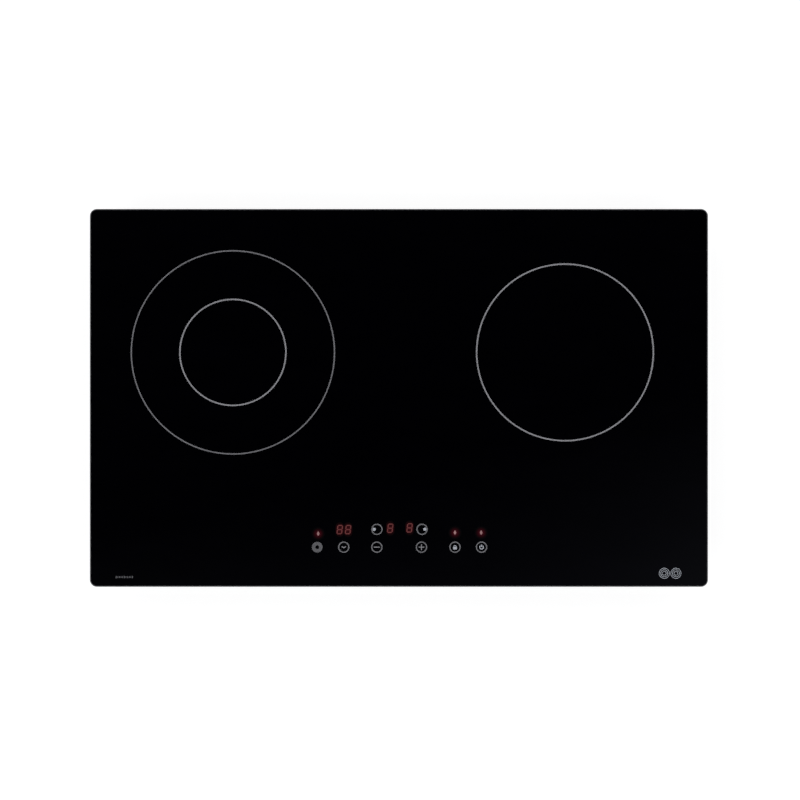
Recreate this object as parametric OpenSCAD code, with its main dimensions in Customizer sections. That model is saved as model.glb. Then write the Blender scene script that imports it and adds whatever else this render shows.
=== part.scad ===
// Built-in two-zone induction cooktop, in millimetres.
// Origin: centre of the cooktop in the plane of the worktop that it is set into.
// X runs to the right, Y to the back, Z up; the controls are at the front.

/* [Glass] */
// Width of the glass
glass_w = 700; // [690:1:710]
// Depth of the glass
glass_d = 428; // [424:1:434]
// Thickness of the glass
glass_t = 4; // [4:0.5:6]
// Radius of the glass corners
glass_r = 8; // [5:1:12]
// Bevel ground along the edges of the glass
glass_bevel = 1.2; // [0.4:0.1:1.4]
// Thickness of the enamel that is printed on the glass
print_t = 0.1; // [0.05:0.01:0.2]

/* [Cooking zones] */
// Distance of each zone from the centre line
zone_x = 188; // [186:1:190]
// Distance of both zones behind the centre
zone_y = 51.5; // [49:0.5:54]
// Diameter of the outer ring on the left
left_outer_d = 230; // [220:1:232]
// Diameter of the inner ring on the left
left_inner_d = 120; // [116:1:124]
// Diameter of the ring on the right
right_d = 200; // [190:1:210]
// Width of the printed rings
ring_line = 1.6; // [1:0.1:2]

/* [Controls] */
// Row of keys, measured from the centre
key_y = -169; // [-170:0.5:-168]
// Row of displays and zone keys, measured from the centre
display_y = -148.5; // [-149:0.5:-148]
// Diameter of the ring printed round each key
key_d = 11.6; // [10:0.1:12]
// Width of the rings round the keys
key_ring_line = 1.2; // [0.8:0.1:1.4]
// Width of the lines of the key symbols
key_line = 0.9; // [0.6:0.1:1.2]

/* [Casing] */
// Width of the frame under the glass
frame_w = 660; // [658:1:662]
// Depth of the frame under the glass
frame_d = 388; // [386:1:390]
// Depth of the casing below the worktop
casing_h = 54; // [54:1:56]
// Thickness of the steel sheet
sheet = 1; // [0.8:0.1:1.2]
// Width of the raised strip along each side
strip_w = 34; // [32:1:36]
// Height of the raised strips above the bottom
strip_h = 24; // [22:1:24]
// Thickness of the seal under the glass
seal_t = 2; // [2:0.5:3]

/* [Worktop clamps] */
// Distance of the clamps from the centre line
clamp_x = 311.5; // [310:0.5:313]
// Distance of the clamps in front of and behind the centre
clamp_y = 120; // [115:1:125]
// Reach of a clamp from its screw
clamp_reach = 34; // [30:1:35]
// Play that the clamp screw takes up when it is tightened
clamp_lift = 10; // [6:0.5:10]

/* [Fans] */
// Side of the square fan frame
fan_size = 92; // [92:1:94]
// Height of the fan frame
fan_h = 25; // [25:0.5:26]
// Distance of each fan from the centre line
fan_x = 58; // [56:1:58]
// Distance of the fans behind the centre
fan_y = 100; // [98:1:101]
// Number of blades on a rotor
fan_blades = 7; // [5:1:9]

/* [Hidden] */
$fn = 64;

// Colours
black_glass = [0.02, 0.02, 0.022];
enamel = [0.8, 0.8, 0.82];
steel = [0.72, 0.73, 0.74];
bright_steel = [0.82, 0.82, 0.83];
aluminium = [0.8, 0.81, 0.82];
copper = [0.72, 0.4, 0.22];
ferrite = [0.2, 0.2, 0.21];
dark_plastic = [0.1, 0.1, 0.11];
grey_plastic = [0.35, 0.36, 0.38];
mica = [0.78, 0.72, 0.6];
board_green = [0.08, 0.32, 0.16];
foam = [0.16, 0.16, 0.17];

// Heights
glass_z = seal_t;
glass_top = glass_z + glass_t;
bottom_z = -casing_h;
floor_z = bottom_z + sheet;
strip_z = bottom_z + strip_h;
strip_floor_z = strip_z + sheet;
board_z = floor_z + 6;
board_t = 1.6;
parts_z = board_z + board_t;
tray_z = -12.2;
tray_t = 1.5;
carrier_z = tray_z + tray_t;
plate_top_z = -2.2;
plate_t = 2;
post_top_z = -24;

// Casing, in plan
fit_gap = 0.2;
pan_w = frame_w - 2 * sheet - 2 * fit_gap;
pan_d = frame_d - 2 * sheet - 2 * fit_gap;
well_w = pan_w - 2 * strip_w;
pan_r = 6;
skirt_h = 14;
flange_w = 10;
flange_z = 0.3;
side_screw_z = -7;
side_screw_xs = [-240, 0, 240];
side_screw_ys = [-90, 90];

// Coils
litz_r = 1.78;
litz_pitch = 3.4;
left_inner_r = 22;
left_inner_turns = 11;
left_outer_r = 64.6;
left_outer_turns = 15;
right_inner_r = 24;
right_turns = 22;
tray_side = 236;
post_offset = 112;
post_r = 5;
pin_r = 2.2;
lead_offset = 92;
spoke_count = 8;

// Power boards
board_w = 178;
board_d = 240;
board_x = 201;
board_y = 10;
standoff_x = 83;
standoff_y = 112;
standoff_pin_r = 1.6;
heatsink_x = 150;
heatsink_w = 60;
heatsink_d = 140;
heatsink_base = 5;
heatsink_z = parts_z + 5.2;
heatsink_top = -17;

// Control board
control_w = 236;
control_d = 56;
control_y = -155;
control_z = -9;
control_board_z = -5.5;
control_post_x = 112;
control_post_y = 24;
control_post_top_z = -21;
control_parts_z = control_board_z + board_t;
key_xs = [-92.5, -62.5, -25, 25.5, 63.5, 93.5];
zone_key_xs = [-25, 26];
led_spots = [[-91.5, -153.5], [63.5, -152.5], [93.3, -152.5]];
timer_x = -62.2;
zone_digit_xs = [-9.7, 11.9];

// Fans
fan_z = floor_z + 3;
fan_hole = 41.25;
hub_r = 18.5;
blade_r = 42.4;
bearing_r = 1.55;
shaft_r = 1.5;

// Terminal box
box_x = 248;
box_y = 169.5;
box_w = 78;
box_d = 44;
box_h = 25;
box_wall = 2;
cover_w = 69.4;
cover_d = 35;
cover_t = 2;
cover_front_y = 153.2;
knuckle_r = 2.8;
hinge_y = cover_front_y + knuckle_r;
hinge_z = bottom_z + knuckle_r;
hinge_pin_r = 1.4;
terminal_y = 164;
terminal_xs = [for (i = [-2:2]) box_x + 12 * i];
saddle_y = 179.5;
saddle_screw_x = 12;
block_z = floor_z + 11;
mains_xs = [224, 236];
mains_z = -36;
inlet_z = -41;
inlet_r = 5.2;

// ---------------------------------------------------------------- shapes

// Rounded rectangle, centred
module round_rect(w, d, r) {
    square([w, d - 2 * r], center = true);
    square([w - 2 * r, d], center = true);
    for (sx = [-1, 1], sy = [-1, 1])
        translate([sx * (w / 2 - r), sy * (d / 2 - r)]) circle(r);
}

// Rounded slab between two heights
module slab(w, d, r, z0, z1) {
    translate([0, 0, z0]) linear_extrude(z1 - z0) round_rect(w, d, r);
}

// Rounded rectangular ring between two heights
module slab_ring(w, d, r, band, z0, z1) {
    difference() {
        slab(w, d, r, z0, z1);
        slab(w - 2 * band, d - 2 * band, max(r - band, 1), z0 - 1, z1 + 1);
    }
}

// Upright disc between two heights
module disc(r, z0, z1) {
    translate([0, 0, z0]) cylinder(r = r, h = z1 - z0);
}

// Upright round ring between two heights
module ring(r_out, r_in, z0, z1) {
    difference() {
        disc(r_out, z0, z1);
        disc(r_in, z0 - 1, z1 + 1);
    }
}

// Box standing on z0, centred in plan
module block(w, d, z0, z1) {
    translate([-w / 2, -d / 2, z0]) cube([w, d, z1 - z0]);
}

// Places its children at each point of a list
module at(points) {
    for (p = points) translate(p) children();
}

// Slot with round ends, lying along Y, centred
module slot2d(w, l) {
    square([w, l - w], center = true);
    for (s = [-1, 1]) translate([0, s * (l - w) / 2]) circle(w / 2);
}

// Smooth curve through points, with a number of steps between each two
function spline_point(p, i, t) =
    let (a = p[max(i - 1, 0)], b = p[i], c = p[i + 1], d = p[min(i + 2, len(p) - 1)])
    0.5 * (2 * b + (c - a) * t + (2 * a - 5 * b + 4 * c - d) * t * t
        + (3 * b - a - 3 * c + d) * t * t * t);
function spline(p, steps) =
    [for (i = [0:len(p) - 2], k = [0:steps - 1]) spline_point(p, i, k / steps), p[len(p) - 1]];

function unit(v) = v / norm(v);
function tangent(path, i) =
    unit(path[min(i + 1, len(path) - 1)] - path[max(i - 1, 0)]);
function square_to(n, t) = unit(n - (n * t) * t);

// Round wire swept along a path of points
module wire(path, r, sides) {
    rings = len(path);
    first = square_to([0.31, 0.17, 0.94], tangent(path, 0));
    normals = [for (i = 0, n = first; i < rings;
        i = i + 1, n = i < rings ? square_to(n, tangent(path, i)) : n) n];
    points = [for (i = [0:rings - 1], k = [0:sides - 1])
        let (t = tangent(path, i), n = normals[i], a = 360 * k / sides)
        path[i] + r * (cos(a) * n + sin(a) * cross(t, n))];
    walls = [for (i = [0:rings - 2], k = [0:sides - 1])
        let (a = i * sides + k, b = i * sides + (k + 1) % sides)
        each [[a, a + sides, b], [b, a + sides, b + sides]]];
    ends = [for (k = [1:sides - 2]) each [
        [0, k, k + 1],
        [(rings - 1) * sides, (rings - 1) * sides + k + 1, (rings - 1) * sides + k]]];
    polyhedron(points = points, faces = concat(walls, ends), convexity = 6);
}

// Compression spring standing on z0
module spring(r, wire_r, turns, z0, z1) {
    steps = 10 * turns;
    wire([for (i = [0:steps]) let (a = 360 * turns * i / steps)
        [r * cos(a), r * sin(a), z0 + wire_r + (z1 - z0 - 2 * wire_r) * i / steps]],
        wire_r, 4);
}

// Pan-head screw, head on top of z = 0 and shank below
module pan_screw(head_r, head_h, shank_r, length) {
    difference() {
        cylinder(r = head_r, h = head_h);
        for (a = [0, 90]) rotate(a) block(head_r * 1.1, 0.9, head_h - 1.2, head_h + 1);
    }
    translate([0, 0, -length]) cylinder(r = shank_r, h = length);
}

// Places its children at the left zone (-1) or the right zone (1)
module at_zone(side) {
    translate([side * zone_x, zone_y, 0]) children();
}

// ---------------------------------------------------------------- glass

module glass_plate() {
    color(black_glass) translate([0, 0, glass_z]) hull()
        for (sx = [-1, 1], sy = [-1, 1])
            translate([sx * (glass_w / 2 - glass_r), sy * (glass_d / 2 - glass_r), 0]) {
                cylinder(r = glass_r - glass_bevel, h = glass_t, $fn = 48);
                translate([0, 0, glass_bevel])
                    cylinder(r = glass_r, h = glass_t - 2 * glass_bevel, $fn = 48);
            }
}

// Ring printed on the glass
module printed_ring(r, line) {
    ring(r + line / 2, r - line / 2, glass_top, glass_top + print_t);
}

module zone_rings() {
    color(enamel) {
        at_zone(-1) {
            printed_ring(left_outer_d / 2, ring_line * 0.85);
            printed_ring(left_inner_d / 2, ring_line);
        }
        at_zone(1) printed_ring(right_d / 2, ring_line);
    }
}

// Bar of a symbol, centred on its own middle
module bar(w, d) {
    block(w, d, glass_top, glass_top + print_t);
}

module clock_hands() {
    rotate(35) translate([1.2, 0, 0]) bar(3.4, key_line);
    rotate(145) translate([0.9, 0, 0]) bar(2.8, key_line);
}

module padlock() {
    translate([0, -1.2, 0]) bar(4.4, 3);
    translate([0, 0.9, 0]) difference() {
        printed_ring(1.5, key_line);
        translate([0, -2.6, 0]) block(6, 4, glass_top - 1, glass_top + 1);
    }
}

module power_mark() {
    difference() {
        printed_ring(2.3, key_line);
        translate([0, 2.3, 0]) block(2.4, 3, glass_top - 1, glass_top + 1);
    }
    translate([0, 1.8, 0]) bar(key_line, 2.6);
}

module zone_dot(side) {
    translate([side * 2.9, 0, 0]) disc(1.9, glass_top, glass_top + print_t);
}

module key_symbols() {
    color(enamel) {
        for (i = [1:len(key_xs) - 1])
            translate([key_xs[i], key_y, 0]) printed_ring(key_d / 2, key_ring_line);
        for (x = zone_key_xs) translate([x, display_y, 0]) printed_ring(key_d / 2, key_ring_line);
        translate([key_xs[0], key_y, 0]) printed_ring(4.1, 3.8);
        translate([key_xs[1], key_y, 0]) union() clock_hands();
        translate([key_xs[2], key_y, 0]) bar(6, key_line);
        translate([key_xs[3], key_y, 0]) union() {
            bar(6, key_line);
            bar(key_line, 6);
        }
        translate([key_xs[4], key_y, 0]) padlock();
        translate([key_xs[5], key_y, 0]) power_mark();
        for (i = [0, 1]) translate([zone_key_xs[i], display_y, 0]) zone_dot(2 * i - 1);
    }
}

module edge_seal() {
    color(foam) slab_ring(glass_w - 6, glass_d - 6, 6, 9, 0, seal_t);
}

module glass_adhesive() {
    color(grey_plastic) slab_ring(frame_w - 4, frame_d - 4, 6, 6, flange_z + sheet, glass_z);
}

// ---------------------------------------------------------------- casing

// Places its children, axis along Z and outward, at each screw round the casing
module at_side_screws() {
    for (s = [-1, 1]) {
        for (x = side_screw_xs)
            translate([x, s * frame_d / 2, side_screw_z]) rotate([-s * 90, 0, 0]) children();
        for (y = side_screw_ys)
            translate([s * frame_w / 2, y, side_screw_z]) rotate([0, s * 90, 0]) children();
    }
}

module support_frame() {
    color(steel) difference() {
        slab(frame_w, frame_d, pan_r + sheet, -skirt_h, flange_z + sheet);
        slab(frame_w - 2 * sheet, frame_d - 2 * sheet, pan_r, -skirt_h - 1, flange_z);
        slab(frame_w - 2 * flange_w, frame_d - 2 * flange_w, 4, -1, flange_z + sheet + 1);
        at_side_screws() disc(2.1, -5, 5);
    }
}

// Places its children at the centre of each fan
module at_fans() {
    for (s = [-1, 1]) translate([s * fan_x, fan_y, 0]) children();
}

// Openings of the grille under a fan: rings of slots, crossed by spokes
module fan_grille2d() {
    difference() {
        for (r = [14:6:38]) difference() {
            circle(r + 3.6);
            circle(r);
        }
        for (a = [0:45:135]) rotate(a) square([90, 2.6], center = true);
    }
}

// Pad pressed up into the bottom of the pan, seen from above
module pressed_pad(w, d, r, h) {
    slab(w + 2 * sheet, d + 2 * sheet, r + sheet, floor_z - 0.5, floor_z + h);
}

// Hollow left under a pressed pad
module pad_hollow(w, d, r, h) {
    slab(w, d, r, bottom_z - 1, bottom_z + h);
}

pad_side = 106;
bead_spots = [for (x = [-200, 0, 200], y = [-118, -100]) [x, y, 0]];
vent_xs = [-255:10:-145];

module base_pan() {
    color(steel) difference() {
        union() {
            difference() {
                union() {
                    slab(pan_w, pan_d, pan_r, strip_z, -0.5);
                    slab(well_w, pan_d, pan_r, bottom_z, strip_z + 1);
                }
                slab(pan_w - 2 * sheet, pan_d - 2 * sheet, pan_r - sheet, strip_floor_z, 1);
                slab(well_w - 2 * sheet, pan_d - 2 * sheet, pan_r - sheet, floor_z, 1);
            }
            at_fans() pressed_pad(pad_side, pad_side, 8, 3);
            at(bead_spots) pressed_pad(110, 5, 2.4, 1.5);
        }
        at_fans() pad_hollow(pad_side, pad_side, 8, 3);
        at(bead_spots) pad_hollow(110, 5, 2.4, 1.5);
        at_fans() translate([0, 0, bottom_z - 1]) linear_extrude(9) fan_grille2d();
        at_fans() for (sx = [-1, 1], sy = [-1, 1])
            translate([sx * fan_hole, sy * fan_hole, 0]) disc(2.1, bottom_z - 1, floor_z + 5);
        for (s = [-1, 1], x = vent_xs)
            translate([s * x, -155, bottom_z - 1]) linear_extrude(5) slot2d(4, 42);
        for (side = [[-1, -1], [1, -1], [-1, 1]], x = vent_xs)
            translate([side[0] * x, side[1] * pan_d / 2, -30]) rotate([90, 0, 0])
                translate([0, 0, -3]) linear_extrude(6) slot2d(3.6, 24);
        at_side_screws() disc(2, -5, 5);
        for (sx = [-1, 1], sy = [-1, 1])
            translate([sx * clamp_x, sy * clamp_y, 0]) disc(2.6, strip_z - 1, strip_z + 3);
        translate([box_x, cover_front_y + cover_d / 2, 0])
            slab(cover_w + 0.8, cover_d + 0.8, 1.5, bottom_z - 1, floor_z + 1);
        translate([box_x, pan_d / 2, inlet_z]) rotate([90, 0, 0]) disc(7.7, -3, 3);
    }
}

module casing_screws() {
    color(bright_steel) at_side_screws() pan_screw(3.4, 2.2, 1.9, 9);
}

// ---------------------------------------------------------------- coils

module insulating_sheet(r) {
    difference() {
        disc(r, 1.4, 1.9);
        disc(11, 1, 3);
    }
}

module left_insulating_sheet() {
    color(mica) at_zone(-1) insulating_sheet(left_outer_d / 2 + 2);
}

module right_insulating_sheet() {
    color(mica) at_zone(1) insulating_sheet(right_d / 2 + 2);
}

// Flat winding: each turn lies against the next
module winding(r_first, turns) {
    rotate_extrude() for (i = [0:turns - 1])
        translate([r_first + i * litz_pitch, plate_top_z + litz_r]) circle(litz_r, $fn = 32);
}

module left_outer_winding() {
    color(copper) at_zone(-1) winding(left_outer_r, left_outer_turns);
}

module left_inner_winding() {
    color(copper) at_zone(-1) winding(left_inner_r, left_inner_turns);
}

module right_winding() {
    color(copper) at_zone(1) winding(right_inner_r, right_turns);
}

// Heat-resistant plastic disc that holds a winding above its ferrite bars
module coil_carrier(r, bars) {
    difference() {
        union() {
            ring(r, 14, plate_top_z - plate_t, plate_top_z);
            ring(r, r - 2, carrier_z, plate_top_z - 1);
            ring(17, 14, carrier_z, plate_top_z - 1);
            for (i = [0:spoke_count - 1], s = [-1, 1], b = bars) rotate(360 / spoke_count * (i + 0.5))
                translate([b[0] + b[1] / 2, s * 7.2, 0])
                    block(b[1], 1.4, carrier_z + 1.5, plate_top_z - 1);
        }
        for (i = [0:spoke_count - 1], b = bars) rotate(360 / spoke_count * i)
            translate([b[0] + b[1] / 2, 0, plate_top_z - 3]) linear_extrude(4)
                rotate(90) slot2d(9, b[1]);
    }
}

left_bars = [[24, 36], [66, 44]];
right_bars = [[26, 34], [62, 34]];

// Ferrite bars, lying like spokes under the winding
module ferrite_bars(bars) {
    for (i = [0:spoke_count - 1], b = bars) rotate(360 / spoke_count * (i + 0.5))
        translate([b[0] + b[1] / 2, 0, 0])
            block(b[1], 12, carrier_z + 1.5, plate_top_z - plate_t);
}

module left_coil_carrier() {
    color(dark_plastic) at_zone(-1) coil_carrier(left_outer_d / 2 + 2, left_bars);
}

module right_coil_carrier() {
    color(dark_plastic) at_zone(1) coil_carrier(right_d / 2 + 2, right_bars);
}

module left_ferrite_bars() {
    color(ferrite) at_zone(-1) ferrite_bars(left_bars);
}

module right_ferrite_bars() {
    color(ferrite) at_zone(1) ferrite_bars(right_bars);
}

// Sensor in a soft cap that touches the glass from below
module temperature_sensors() {
    color(enamel) for (s = [-1, 1]) at_zone(s) union() {
        disc(10, carrier_z, carrier_z + 2);
        disc(7, carrier_z + 1, 0);
        disc(8.5, -0.5, 1.8);
    }
}

// Aluminium tray that carries a coil and shields the board below it
module coil_tray() {
    difference() {
        union() {
            slab(tray_side, tray_side, 10, tray_z, carrier_z);
            for (s = [-1, 1]) translate([s * (tray_side / 2 - 0.75), 0, 0])
                block(1.5, tray_side - 40, tray_z - 6, tray_z + 0.5);
        }
        for (sx = [-1, 1], sy = [-1, 1])
            translate([sx * post_offset, sy * post_offset, 0]) disc(3, tray_z - 1, carrier_z + 1);
        for (sx = [-1, 1]) translate([sx * lead_offset, -lead_offset, 0])
            disc(8, tray_z - 1, carrier_z + 1);
        disc(6, tray_z - 1, carrier_z + 1);
        for (a = [0:90:270]) rotate(a) translate([70, 0, tray_z - 1]) linear_extrude(4) slot2d(10, 40);
    }
}

module left_coil_tray() {
    color(aluminium) at_zone(-1) coil_tray();
}

module right_coil_tray() {
    color(aluminium) at_zone(1) coil_tray();
}

// ---------------------------------------------------------------- posts and springs

// Posts under a coil tray: the outer two stand on the raised strip
module at_tray_posts() {
    for (s = [-1, 1], sx = [-1, 1], sy = [-1, 1])
        translate([s * (zone_x + sx * post_offset), zone_y + sy * post_offset, 0]) {
            $foot_z = sx > 0 ? strip_floor_z : floor_z;
            children();
        }
}

module at_control_posts() {
    for (sx = [-1, 1], sy = [-1, 1])
        translate([sx * control_post_x, control_y + sy * control_post_y, 0]) children();
}

standoff_spots = [for (s = [-1, 1], sx = [-1, 1], k = [-1:1])
    [s * (board_x + sx * standoff_x), board_y + k * standoff_y, 0]];

module support_posts() {
    color(grey_plastic) {
        at_tray_posts() union() {
            disc(post_r, $foot_z, post_top_z);
            disc(pin_r, post_top_z - 1, carrier_z + 1.2);
        }
        at_control_posts() union() {
            disc(post_r, floor_z, control_post_top_z);
            disc(pin_r, control_post_top_z - 1, control_z + 3);
        }
        at(standoff_spots) union() {
            disc(4, floor_z, board_z);
            disc(standoff_pin_r, board_z - 1, parts_z + 2);
        }
    }
}

module support_springs() {
    color(bright_steel) {
        at_tray_posts() spring(3.6, 0.5, 4, post_top_z, tray_z);
        at_control_posts() spring(3.6, 0.5, 4, control_post_top_z, control_z);
    }
}

// ---------------------------------------------------------------- power boards

module power_board(side) {
    translate([side * board_x, board_y, 0]) difference() {
        slab(board_w, board_d, 3, board_z, parts_z);
        for (sx = [-1, 1], k = [-1:1]) translate([sx * standoff_x, k * standoff_y, 0])
            disc(standoff_pin_r + fit_gap, board_z - 1, parts_z + 1);
    }
}

module left_power_board() {
    color(board_green) power_board(-1);
}

module right_power_board() {
    color(board_green) power_board(1);
}

// Extruded heat sink on two feet, over the power transistors
module heatsink(side) {
    fins = 10;
    pitch = (heatsink_w - 2) / (fins - 1);
    translate([side * heatsink_x, 50, 0]) rotate([90, 0, 0])
        linear_extrude(heatsink_d, center = true) union() {
            translate([-heatsink_w / 2, heatsink_z]) square([heatsink_w, heatsink_base]);
            for (s = [-1, 1]) translate([s * (heatsink_w / 2 - 2) - 2, parts_z])
                square([4, heatsink_z - parts_z + 1]);
            for (i = [0:fins - 1]) translate([-heatsink_w / 2 + i * pitch, heatsink_z + 1])
                square([2, heatsink_top - heatsink_z - 1]);
        }
}

module left_heatsink() {
    color(aluminium) heatsink(-1);
}

module right_heatsink() {
    color(aluminium) heatsink(1);
}

// Flat packages screwed up against the heat sink
module power_transistors() {
    color(dark_plastic) for (s = [-1, 1], y = [0, 40, 90])
        translate([s * heatsink_x, y, 0]) union() {
            block(16, 21, parts_z + 0.1, heatsink_z - 0.1);
            for (x = [-5.4, 0, 5.4]) translate([x, -13, 0]) block(1.4, 6, parts_z + 1, parts_z + 1.8);
        }
}

// Each capacitor: x, y, width, depth, height
capacitor_list = [
    [205, 108, 32, 20, 26], [244, 108, 32, 20, 26], [214, 74, 42, 22, 28],
    [262, 74, 26, 12, 20], [262, 54, 26, 12, 20], [200, -84, 32, 16, 24]];

module film_capacitors() {
    color(grey_plastic) for (s = [-1, 1], c = capacitor_list)
        translate([s * c[0], c[1], 0]) slab(c[2], c[3], 1.5, parts_z, parts_z + c[4]);
}

// Each choke: x, y, radius of the core, height
choke_list = [[215, 32, 17, 14], [262, 20, 14, 12]];

module filter_chokes() {
    color(copper) for (s = [-1, 1], c = choke_list)
        translate([s * c[0], c[1], 0]) difference() {
            disc(c[2], parts_z, parts_z + c[3]);
            disc(c[2] * 0.45, parts_z - 1, parts_z + c[3] + 1);
        }
}

// Each relay, transformer, connector or chip: x, y, width, depth, height
box_part_list = [
    [268, -10, 19, 16, 15], [268, -30, 19, 16, 15], [232, -20, 22, 20, 17],
    [274, -60, 22, 14, 10], [250, -84, 24, 10, 8], [150, -102, 30, 10, 8],
    [150, -70, 12, 12, 2], [190, -40, 8, 10, 2], [128, -50, 14, 7, 7],
    [124, -76, 12, 24, 7], [230, 125, 22, 8, 7]];
// Each electrolytic capacitor: x, y, radius, height
can_list = [[205, -10, 8, 20], [205, -60, 5, 14], [222, -60, 5, 14], [184, -20, 4, 11]];

module board_parts() {
    color(enamel) {
        for (s = [-1, 1], c = box_part_list)
            translate([s * c[0], c[1], 0]) block(c[2], c[3], parts_z, parts_z + c[4]);
        for (s = [-1, 1], c = can_list)
            translate([s * c[0], c[1], 0]) disc(c[2], parts_z, parts_z + c[3]);
        translate([0, -174, 0]) block(10, 10, control_parts_z, control_parts_z + 1.6);
        translate([-80, -138, 0]) block(16, 7, control_parts_z, control_parts_z + 4.5);
    }
}

// ---------------------------------------------------------------- fans

// Frame of a fan, with its motor mount on spokes at the top
module fan_frame() {
    difference() {
        union() {
            difference() {
                slab(fan_size, fan_size, 5, 0, fan_h);
                disc(43.6, -1, fan_h + 1);
                translate([0, 0, 4]) linear_extrude(fan_h - 8) difference() {
                    square(fan_size + 4, center = true);
                    circle(46.6);
                }
            }
            disc(17, fan_h - 2.5, fan_h);
            disc(3.6, 7, fan_h - 1);
            for (a = [20:90:290]) rotate(a) translate([30.5, 0, 0])
                block(29, 4, fan_h - 2.5, fan_h);
        }
        for (sx = [-1, 1], sy = [-1, 1])
            translate([sx * fan_hole, sy * fan_hole, 0]) disc(2.15, -1, fan_h + 1);
        disc(2.6, -1, fan_h - 1.2);
    }
}

module left_fan_frame() {
    color(dark_plastic) translate([-fan_x, fan_y, fan_z]) mirror([1, 0, 0]) fan_frame();
}

module right_fan_frame() {
    color(dark_plastic) translate([fan_x, fan_y, fan_z]) fan_frame();
}

// Blade outline at one height: an arc that leans back towards its tip
function blade_edge(half) = [for (i = [0:5])
    let (u = i / 5, r = hub_r - 1 + u * (blade_r - hub_r + 1), a = 16 * u * u)
    [r * cos(a) - half * sin(a + 8 * u), r * sin(a) + half * cos(a + 8 * u)]];
function flip(list) = [for (i = [len(list) - 1:-1:0]) list[i]];

module fan_blade() {
    translate([0, 0, 3.5]) linear_extrude(16, twist = 34, slices = 6, segments = 12)
        polygon(concat(blade_edge(-0.7), flip(blade_edge(0.7))));
}

module fan_rotor() {
    union() {
        difference() {
            disc(hub_r, 2, 21);
            disc(hub_r - 2, 3.8, 22);
        }
        disc(shaft_r, 3, fan_h - 1.8);
        for (i = [0:fan_blades - 1]) rotate(360 / fan_blades * i) fan_blade();
    }
}

module left_fan_rotor() {
    color(dark_plastic) translate([-fan_x, fan_y, fan_z]) fan_rotor();
}

module right_fan_rotor() {
    color(dark_plastic) translate([fan_x, fan_y, fan_z]) fan_rotor();
}

module fan_bearings() {
    color(copper) at_fans() ring(2.6, bearing_r, fan_z + 7.2, fan_z + fan_h - 1.4);
}

module fan_stators() {
    color(copper) at_fans() difference() {
        union() {
            disc(8, fan_z + 9, fan_z + 19);
            for (a = [0:90:270]) rotate(a) {
                translate([10, 0, 0]) block(8, 5, fan_z + 10, fan_z + 18);
                translate([13.6, 0, 0]) block(2.4, 11, fan_z + 9, fan_z + 19);
            }
        }
        disc(3.8, fan_z, fan_z + 30);
    }
}

module fan_screws() {
    color(bright_steel) at_fans() for (sx = [-1, 1], sy = [-1, 1])
        translate([sx * fan_hole, sy * fan_hole, bottom_z + 3]) mirror([0, 0, 1])
            pan_screw(3.6, 2, 1.9, 10);
}

// ---------------------------------------------------------------- controls

module control_tray() {
    color(dark_plastic) translate([0, control_y, 0]) difference() {
        slab(control_w, control_d, 4, control_z, 1.5);
        slab(control_w - 4, control_d - 4, 2.5, control_z + 2, 3);
        for (sx = [-1, 1], sy = [-1, 1])
            translate([sx * control_post_x, sy * control_post_y, 0]) disc(2.8, control_z - 1, 0);
        translate([-80, control_d / 2, 0]) block(16, 8, -4.2, 3);
        for (x = [-84:24:84]) translate([x, 0, control_z - 1]) linear_extrude(4) slot2d(12, 36);
    }
}

module control_board() {
    color(board_green) translate([0, control_y, 0]) union() {
        slab(208, 48, 2, control_board_z, control_parts_z);
        for (x = [-96, -48, 48, 96], sy = [-1, 1])
            translate([x, sy * 21, 0]) disc(1.5, control_z + 2.05, control_board_z + 0.5);
    }
}

module touch_springs() {
    color(bright_steel) {
        for (x = key_xs) translate([x, key_y, 0]) spring(4.4, 0.35, 3, control_parts_z, 1.9);
        for (x = zone_key_xs)
            translate([x, display_y, 0]) spring(4.4, 0.35, 3, control_parts_z, 1.9);
    }
}

module led_displays() {
    color([0.7, 0.1, 0.08]) {
        translate([timer_x, display_y, 0]) block(16.5, 13.5, control_parts_z, 1.6);
        for (x = zone_digit_xs) translate([x, display_y + 1, 0]) block(8.6, 13.5, control_parts_z, 1.6);
        at([for (p = led_spots) [p[0], p[1], 0]]) disc(1.5, control_parts_z, 0.4);
    }
}

// ---------------------------------------------------------------- cables

// Flat cable from the control board down to the left power board
module ribbon_cable() {
    ribbon_w = 12;
    ribbon_t = 0.9;
    bend_r = 8;
    top_z = -1.4;
    foot_z = parts_z + 8;
    start_y = -134.4;
    down_y = -104;
    color([0.7, 0.7, 0.72]) union() {
        translate([-80 - ribbon_w / 2, 0, 0]) rotate([90, 0, 90]) linear_extrude(ribbon_w) union() {
            translate([start_y, top_z]) square([down_y - bend_r - start_y, ribbon_t]);
            translate([down_y - bend_r, top_z - bend_r]) intersection() {
                difference() {
                    circle(bend_r + ribbon_t);
                    circle(bend_r);
                }
                square(2 * bend_r);
            }
            translate([down_y, foot_z]) square([ribbon_t, top_z - bend_r - foot_z]);
        }
        translate([-74 - 45, -101.6, 0]) block(90, 5.6, foot_z, foot_z + ribbon_t);
    }
}

// Last stretch of a lead, straight down onto its connector
function plug_end(x, y, z) = [[x, y, z + 3], [x, y, z + 1.5], [x, y, z]];

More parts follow.
